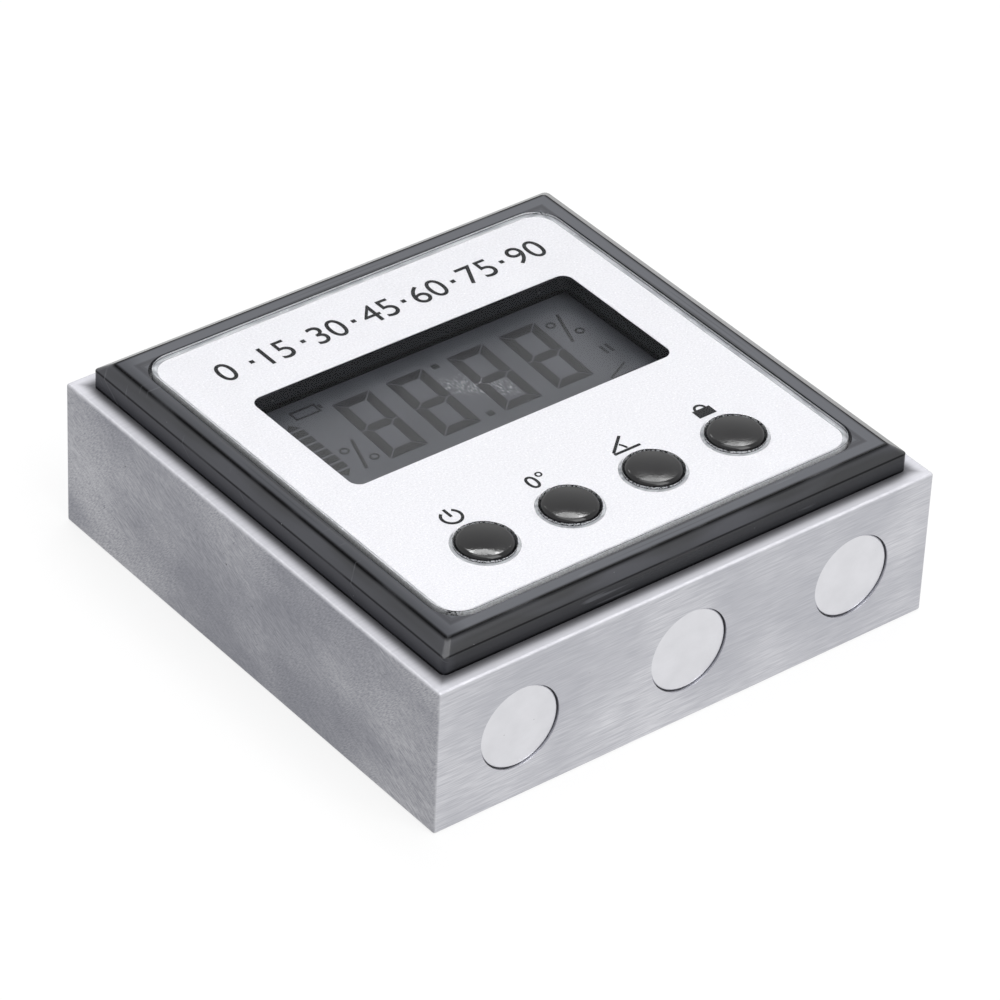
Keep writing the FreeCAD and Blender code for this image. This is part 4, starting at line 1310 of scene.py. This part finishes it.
@dataclass
class Front(SubAssembly):
    """The bezel, the lens and the printed face with its plain numbers and signs."""

    scale_step: int = 15
    scale_last: int = 90
    figure_height: float = 3.0
    figure_row: float = 19.3
    figure_reach: float = 18.5
    tick: float = 0.5
    ink: float = 0.02
    ink_lift: float = 0.006
    sign_rise: float = 5.15
    sign_size: float = 2.1
    sign_weight: float = 0.008
    stroke: float = 0.32
    lens_corner: float = 3.0
    print_corner: float = 2.45
    lens_hole: float = 3.05
    print_hole: float = 3.4
    bead_gap: float = 0.03
    flats: int = 48
    signs: dict[str, Emblem] = field(default_factory=lambda: {
        "button_power": Emblem.POWER, "button_percent": Emblem.ZERO,
        "button_reference": Emblem.ANGLE, "button_hold": Emblem.LOCK})
    finishes = {BEZEL: "front_bezel", LENS: "face_lens", FACE: "face_print", TAPE: "lens_tape"}

    def build(self) -> None:
        """Prints the numbers, the ticks between them and the sign over each button."""
        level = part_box("face_print")[1].z / MM + self.ink_lift
        numbers = range(0, self.scale_last + 1, self.scale_step)
        pitch = self.figure_reach * 2 / (len(numbers) - 1)
        writer = Lettering(self.figure_height, level, self.ink)
        figures = [writer.mesh(str(number), (pitch * place - self.figure_reach,
                                             self.figure_row))
                   for place, number in enumerate(numbers)]
        piece("scale_numbers", joined(figures), INK)
        tick = Drawing()
        tick.block((pitch / 2 - self.figure_reach, self.figure_row), (self.tick, self.tick))
        ticks = ROWS.copies(tick.solid(level, self.ink), len(numbers) - 1, (pitch, 0))
        piece("scale_ticks", ticks, INK)
        for button, emblem in self.signs.items():
            centre = middle_of(button).xy + Vector((0, self.sign_rise))
            piece("sign_" + emblem.value, self.sign(emblem, centre, level), INK)
        self.beads()

    def sign(self, emblem: Emblem, centre: Vector, level: float) -> bpy.types.Mesh:
        """Draws one button's sign.

        Args:
            emblem: which sign.
            centre: its middle, in millimetres.
            level: the height of the ink's lower face, in millimetres.

        Returns:
            The mesh, in metres.
        """
        if emblem is Emblem.ZERO:
            writer = Lettering(self.sign_size, level, self.ink, self.sign_weight)
            return writer.mesh("0°", centre)
        drawing = Drawing()
        drawing.glyph(BUTTON_SIGNS[emblem], centre, self.sign_size / 2, self.stroke)
        return drawing.solid(level, self.ink)

    def beads(self) -> None:
        """Builds the adhesive that shows through the lens, past the silver print."""
        lens_low, lens_high = (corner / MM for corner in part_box("face_lens"))
        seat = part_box("lens_tape")[0].z / MM
        depth = lens_low.z - self.bead_gap - seat
        border = Drawing()
        border.square_ring((lens_high.x - self.bead_gap, self.lens_corner - self.bead_gap),
                           (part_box("face_print")[1].x / MM + self.bead_gap,
                            self.print_corner + self.bead_gap))
        piece("border_adhesive", border.solid(seat, depth), BEAD)
        centres = [middle_of(name) for name in self.signs]
        inner = self.lens_hole + self.bead_gap
        outer = self.print_hole - self.bead_gap
        ring = Drawing()
        ring.arc(centres[0].xy, (inner + outer) / 2, outer - inner, steps=self.flats)
        rings = ROWS.copies(ring.solid(seat, depth), len(centres),
                            (centres[1].x - centres[0].x, 0))
        piece("button_hole_adhesive", rings, BEAD)


# In millimetres: the sign for a slope in percent, then those in the display's corners.
PERCENT = Glyph(bars=(((-0.8, -2.3), (0.8, 2.3), 0.36),),
                arcs=(((-0.9, 1.15), 0.42, 0.24, 0, 360.0, 24),
                      ((0.95, -1.2), 0.42, 0.24, 0, 360.0, 24)))
CELL = Glyph(bars=(((-1.4, -0.6), (1.4, -0.6), 0.22), ((-1.4, 0.6), (1.4, 0.6), 0.22),
                   ((-1.4, -0.71), (-1.4, 0.71), 0.22), ((1.4, -0.71), (1.4, 0.71), 0.22),
                   ((1.6, 0), (1.95, 0), 0.6)))
SLOPE = Glyph(bars=(((-1.6, -0.7), (1.6, -0.7), 0.24), ((-1.5, -0.45), (1.2, 0.9), 0.24)))
PAUSE = Glyph(bars=(((-0.35, -0.7), (-0.35, 0.7), 0.3), ((0.35, -0.7), (0.35, 0.7), 0.3)))


@dataclass
class Buttons(SubAssembly):
    """The four push buttons with the switches under them."""

    finishes = {
        BUTTON: "button_power button_percent button_reference button_hold",
        NYLON: "switch_stem_power switch_stem_percent switch_stem_reference switch_stem_hold",
        SWITCH: "switch_bodies", CONTACT: "switch_snap_discs"}


@dataclass
class Display(SubAssembly):
    """The liquid crystal display: its unlit segments, films, glasses, strips and holder."""

    digit_width: float = 4.5
    digit_height: float = 10.4
    stroke: float = 1.15
    gap: float = 0.09
    slant: float = 0.06
    digit_foot: float = 1.85
    pair_lefts: Point = (-11.5, 2.5)
    pair_step: float = 6.5
    point_size: float = 0.75
    point_spot: Point = (1.05, 2.4)
    point_step: Point = (0.35, 9.4)
    percent_spot: Point = (-13.5, 4.3)
    percent_step: Point = (29.6, 5.45)
    level_spot: Point = (-16.4, 3.75)
    level_size: Point = (1.7, 0.95)
    level_pitch: float = 1.27
    level_count: int = 6
    level_end_share: float = 0.65
    icons: tuple[tuple[Glyph, Point], ...] = ((CELL, (-13.7, 12.8)), (SLOPE, (16.0, 0.8)),
                                              (PAUSE, (17.3, 4.6)))
    print_thickness: float = 0.02
    finishes = {FILM: "lcd_polariser", GLASS: "lcd_front_glass lcd_rear_glass",
                REFLECTOR: "lcd_reflector", HOLDER: "lcd_holder",
                STRIP: "contact_strip_lower contact_strip_upper"}

    def build(self) -> None:
        """Builds every segment that the display can show, all unlit."""
        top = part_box("lcd_polariser")[1].z / MM
        pairs = []
        for left in self.pair_lefts:
            digit = Drawing()
            for points in self.digit(left - self.digit_foot * self.slant):
                digit.outline(points)
            shape = digit.solid(top, self.print_thickness, self.slant)
            pairs.append(ROWS.copies(shape, 2, (self.pair_step, 0)))
        self.put("display_digits", joined(pairs))
        point, percent, block, ends, icons = (Drawing() for _ in range(5))
        point.block(self.point_spot, (self.point_size, self.point_size))
        self.put("display_points", self.row(point, top, 2, self.point_step))
        percent.glyph(PERCENT, self.percent_spot)
        self.put("display_percents", self.row(percent, top, 2, self.percent_step))
        block.block(self.level_spot, self.level_size)
        (x, y), (width, height) = self.level_spot, self.level_size
        last = y + self.level_pitch * (self.level_count - 1)
        for middle, way in ((y, -1), (last, 1)):
            base = middle + self.level_pitch * self.level_end_share * way
            ends.outline([(x - width / 2, base), (x + width / 2, base),
                          (x, base + height * way)])
        blocks = self.row(block, top, self.level_count, (0, self.level_pitch))
        self.put("display_level", joined([blocks, self.row(ends, top)]))
        for glyph, spot in self.icons:
            icons.glyph(glyph, spot)
        self.put("display_icons", self.row(icons, top))

    def row(self, drawing: Drawing, top: float, count: int = 1, step: Point = (0, 0)
            ) -> bpy.types.Mesh:
        """Makes one or more copies of a drawing, lying on the film.

        Args:
            drawing: what is drawn.
            top: the film's height, in millimetres.
            count: how many copies there are.
            step: from one to the next, in millimetres.

        Returns:
            The mesh, in metres.
        """
        shape = drawing.solid(top, self.print_thickness)
        return ROWS.copies(shape, count, step) if count > 1 else shape

    def put(self, name: str, mesh: bpy.types.Mesh) -> None:
        """Adds one group of segments as a piece of the case."""
        piece(name, mesh, SEGMENT)

    def digit(self, left: float) -> list[list[Point]]:
        """The seven outlines of a digit, before it leans.

        Args:
            left: where its left side is, in millimetres.

        Returns:
            Seven lists of points.
        """
        width, stroke, gap = self.digit_width, self.stroke, self.gap
        foot, head = self.digit_foot, self.digit_foot + self.digit_height
        waist = (foot + head) / 2
        half = stroke / 2
        outlines = []
        for edge, inner in ((head, head - stroke), (foot, foot + stroke)):
            outlines.append([(gap, edge), (width - gap, edge),
                             (width - stroke - gap, inner), (stroke + gap, inner)])
        for way, end in ((1, head), (-1, foot)):
            near = waist + gap * way
            outer = end - gap * way
            inner = end - (stroke + gap) * way
            for side, turn in ((0, 1), (width, -1)):
                outlines.append([(side, outer), (side + stroke * turn, inner),
                                 (side + stroke * turn, near + half * way),
                                 (side + half * turn, near), (side, near)])
        tip = half + gap
        outlines.append([(tip, waist), (tip + half, waist + half),
                         (width - tip - half, waist + half), (width - tip, waist),
                         (width - tip - half, waist - half), (tip + half, waist - half)])
        return [[(x + left, y) for x, y in points] for points in outlines]


@dataclass
class Board(SubAssembly):
    """The circuit board with its parts and its screws."""

    finishes = {BOARD: "circuit_board", RESIN: "processor_cap", CHIP: "tilt_sensor",
                CRYSTAL: "clock_crystal", CERAMIC: "chip_parts", ZINC: "board_screws"}


@dataclass
class Back(SubAssembly):
    """The back cover, its screws, and the battery door with its moulded arrow."""

    arrow_width: float = 5.0
    arrow_length: float = 2.4
    arrow_height: float = 0.25
    arrow_offset: float = 7.4
    arrow_root_share: float = 0.2
    finishes = {COVER: "back_cover battery_door", BLACKED: "case_screws"}

    def build(self) -> None:
        """Builds the raised arrow that shows which way the door's latch is pressed."""
        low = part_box("battery_door")[0] / MM
        tip = low.y + self.arrow_offset
        base = tip + self.arrow_length
        arrow = Drawing()
        arrow.outline([(-self.arrow_width / 2, base), (0, tip), (self.arrow_width / 2, base)])
        mesh = arrow.solid(low.z - self.arrow_height,
                           self.arrow_height * (1 + self.arrow_root_share))
        piece("door_arrow", mesh, COVER, Body.DOOR)


@dataclass
class Battery(SubAssembly):
    """Two cells between their contacts and springs, with the washers at their positive ends."""

    washer_width: float = 1.9
    washer_thickness: float = 0.12
    washer_inset: float = 0.7
    nub: float = 0.8
    flats: int = 48
    finishes = {CELL_ONE: "battery_cell_1", CELL_TWO: "battery_cell_2",
                CONTACT: "contact_positive contact_negative contact_bridge contact_spring_1 "
                         "contact_spring_2"}

    def build(self) -> None:
        """Builds the washer round the nub of each cell."""
        washers = []
        for name, way in (("battery_cell_1", -1), ("battery_cell_2", 1)):
            low, high = (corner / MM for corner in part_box(name))
            middle = middle_of(name)
            radius = (high.z - low.z - self.washer_width) / 2 - self.washer_inset
            end = (low.x if way < 0 else high.x) - self.nub * way
            washers.append(hoop(radius, self.washer_width, self.washer_thickness, self.flats,
                                (end, middle.y, middle.z), 90 * way, "Y"))
        piece("cell_washers", joined(washers), WASHER)


@dataclass
class Softbox:
    """A flat lamp that faces the object, in degrees, metres and watts."""

    name: str
    azimuth: float
    elevation: float
    size: Point
    power: float
    roll: float = 0.0
    distance: float = 0.9

    def build(self) -> None:
        """Hangs the lamp."""
        lamp = bpy.data.lights.new(self.name, "AREA")
        lamp.shape = "RECTANGLE"
        lamp.size, lamp.size_y = self.size
        lamp.energy = self.power
        away = toward(self.azimuth, self.elevation)
        linked(self.name, lamp).matrix_world = (
            Matrix.Translation(away * self.distance)
            @ away.to_track_quat("Z", "Y").to_matrix().to_4x4()
            @ Matrix.Rotation(math.radians(self.roll), 4, "Z"))


@dataclass
class Studio:
    """A white floor and sky, and soft lamps that light the object at a plain level."""

    floor_side: float = 6.0
    floor_glow: float = 0.8
    sky_level: float = 0.45
    paper: str = "#f2f2f2"
    lamps: tuple[Softbox, ...] = (
        Softbox("key_softbox", 5.0, 52.0, (0.55, 0.55), 3.8),
        Softbox("top_softbox", 0.0, 88.0, (0.7, 0.7), 3.2),
        Softbox("crown_strip_middle", 140.5, 57.0, (0.34, 0.06), 0.65),
        Softbox("crown_strip_left", 115.5, 49.0, (0.34, 0.06), 0.65, 50.0),
        Softbox("crown_strip_right", 165.5, 49.0, (0.34, 0.06), 0.65, -50.0),
    )

    def build(self) -> None:
        """Builds the lamps, the sky and the floor."""
        for lamp in self.lamps:
            lamp.build()
        bpy.context.scene.view_settings.view_transform = "Standard"
        self.sky()
        self.floor()

    def sky(self) -> None:
        """Makes the world white to look at, and dimmer as a light."""
        world = bpy.data.worlds.new("white_studio")
        world.use_nodes = True
        nodes = Nodes(world.node_tree)
        level = nodes.add("ShaderNodeMix", {0: nodes.seen(), 2: self.sky_level, 3: 1.0})
        glow = nodes.add("ShaderNodeBackground", {"Color": WHITE, "Strength": level})
        nodes.add("ShaderNodeOutputWorld", {"Surface": glow})
        bpy.context.scene.world = world

    def floor(self) -> None:
        """Makes the pale floor, which keeps the object's soft shadow and is open from below."""
        half = self.floor_side / 2
        plane = bpy.data.meshes.new("studio_floor")
        plane.from_pydata([(-half, -half, 0), (half, -half, 0), (half, half, 0),
                           (-half, half, 0)], [], [(0, 1, 2, 3)])
        tree = Tree("white_studio_sweep")
        paper = tree.add("ShaderNodeBsdfDiffuse", {"Color": linear(self.paper)})
        glow = tree.add("ShaderNodeEmission", {"Color": WHITE, "Strength": 1.0})
        share = tree.add("ShaderNodeMath", {0: tree.seen(), 1: self.floor_glow},
                         operation="MULTIPLY")
        top = tree.add("ShaderNodeMixShader", {0: share, 1: paper, 2: glow})
        below = tree.add("ShaderNodeNewGeometry", out="Backfacing")
        clear = tree.add("ShaderNodeBsdfTransparent", {"Color": WHITE})
        both = tree.add("ShaderNodeMixShader", {0: below, 1: top, 2: clear})
        plane.materials.append(tree.finish(both))
        linked("studio_floor", plane)


@dataclass
class PhotoCamera:
    """The photograph's viewpoint, worked out from the square frame's corners."""

    azimuth: float = -39.502
    elevation: float = 36.126
    roll: float = 2.720
    distance: float = 540.395
    aim_right: float = 0.887
    aim_up: float = 6.309
    lens: float = 197.19
    sensor: float = 36.0
    nearest: float = 10.0

    def build(self) -> None:
        """Sets the camera; its angles are in degrees and its sizes in millimetres."""
        turn, lean = math.radians(self.azimuth), math.radians(self.roll)
        back = toward(self.azimuth, self.elevation)
        level = Vector((math.cos(turn), math.sin(turn), 0))
        upright = back.cross(level)
        right = level * math.cos(lean) + upright * math.sin(lean)
        up = upright * math.cos(lean) - level * math.sin(lean)
        place = right * self.aim_right + up * self.aim_up + back * self.distance
        eye = bpy.data.cameras.new("photo_camera")
        eye.lens = self.lens
        eye.sensor_width = self.sensor
        eye.clip_start = self.nearest * MM
        thing = linked("photo_camera", eye)
        thing.matrix_world = (Matrix.Translation(place * MM)
                              @ Matrix((right, up, back)).transposed().to_4x4())
        bpy.context.scene.camera = thing


def main() -> None:
    """Builds the studio, then each sub-assembly in order."""
    logging.basicConfig(level=logging.INFO, format="%(name)s: %(message)s")
    PhotoCamera().build()
    Studio().build()
    for assembly in (Frame(), Front(), Buttons(), Display(), Board(), Back(), Battery()):
        assembly.build()
        assembly.dress()
        LOG.info("%s is dressed", type(assembly).__name__)


if __name__ == "__main__":
    main()
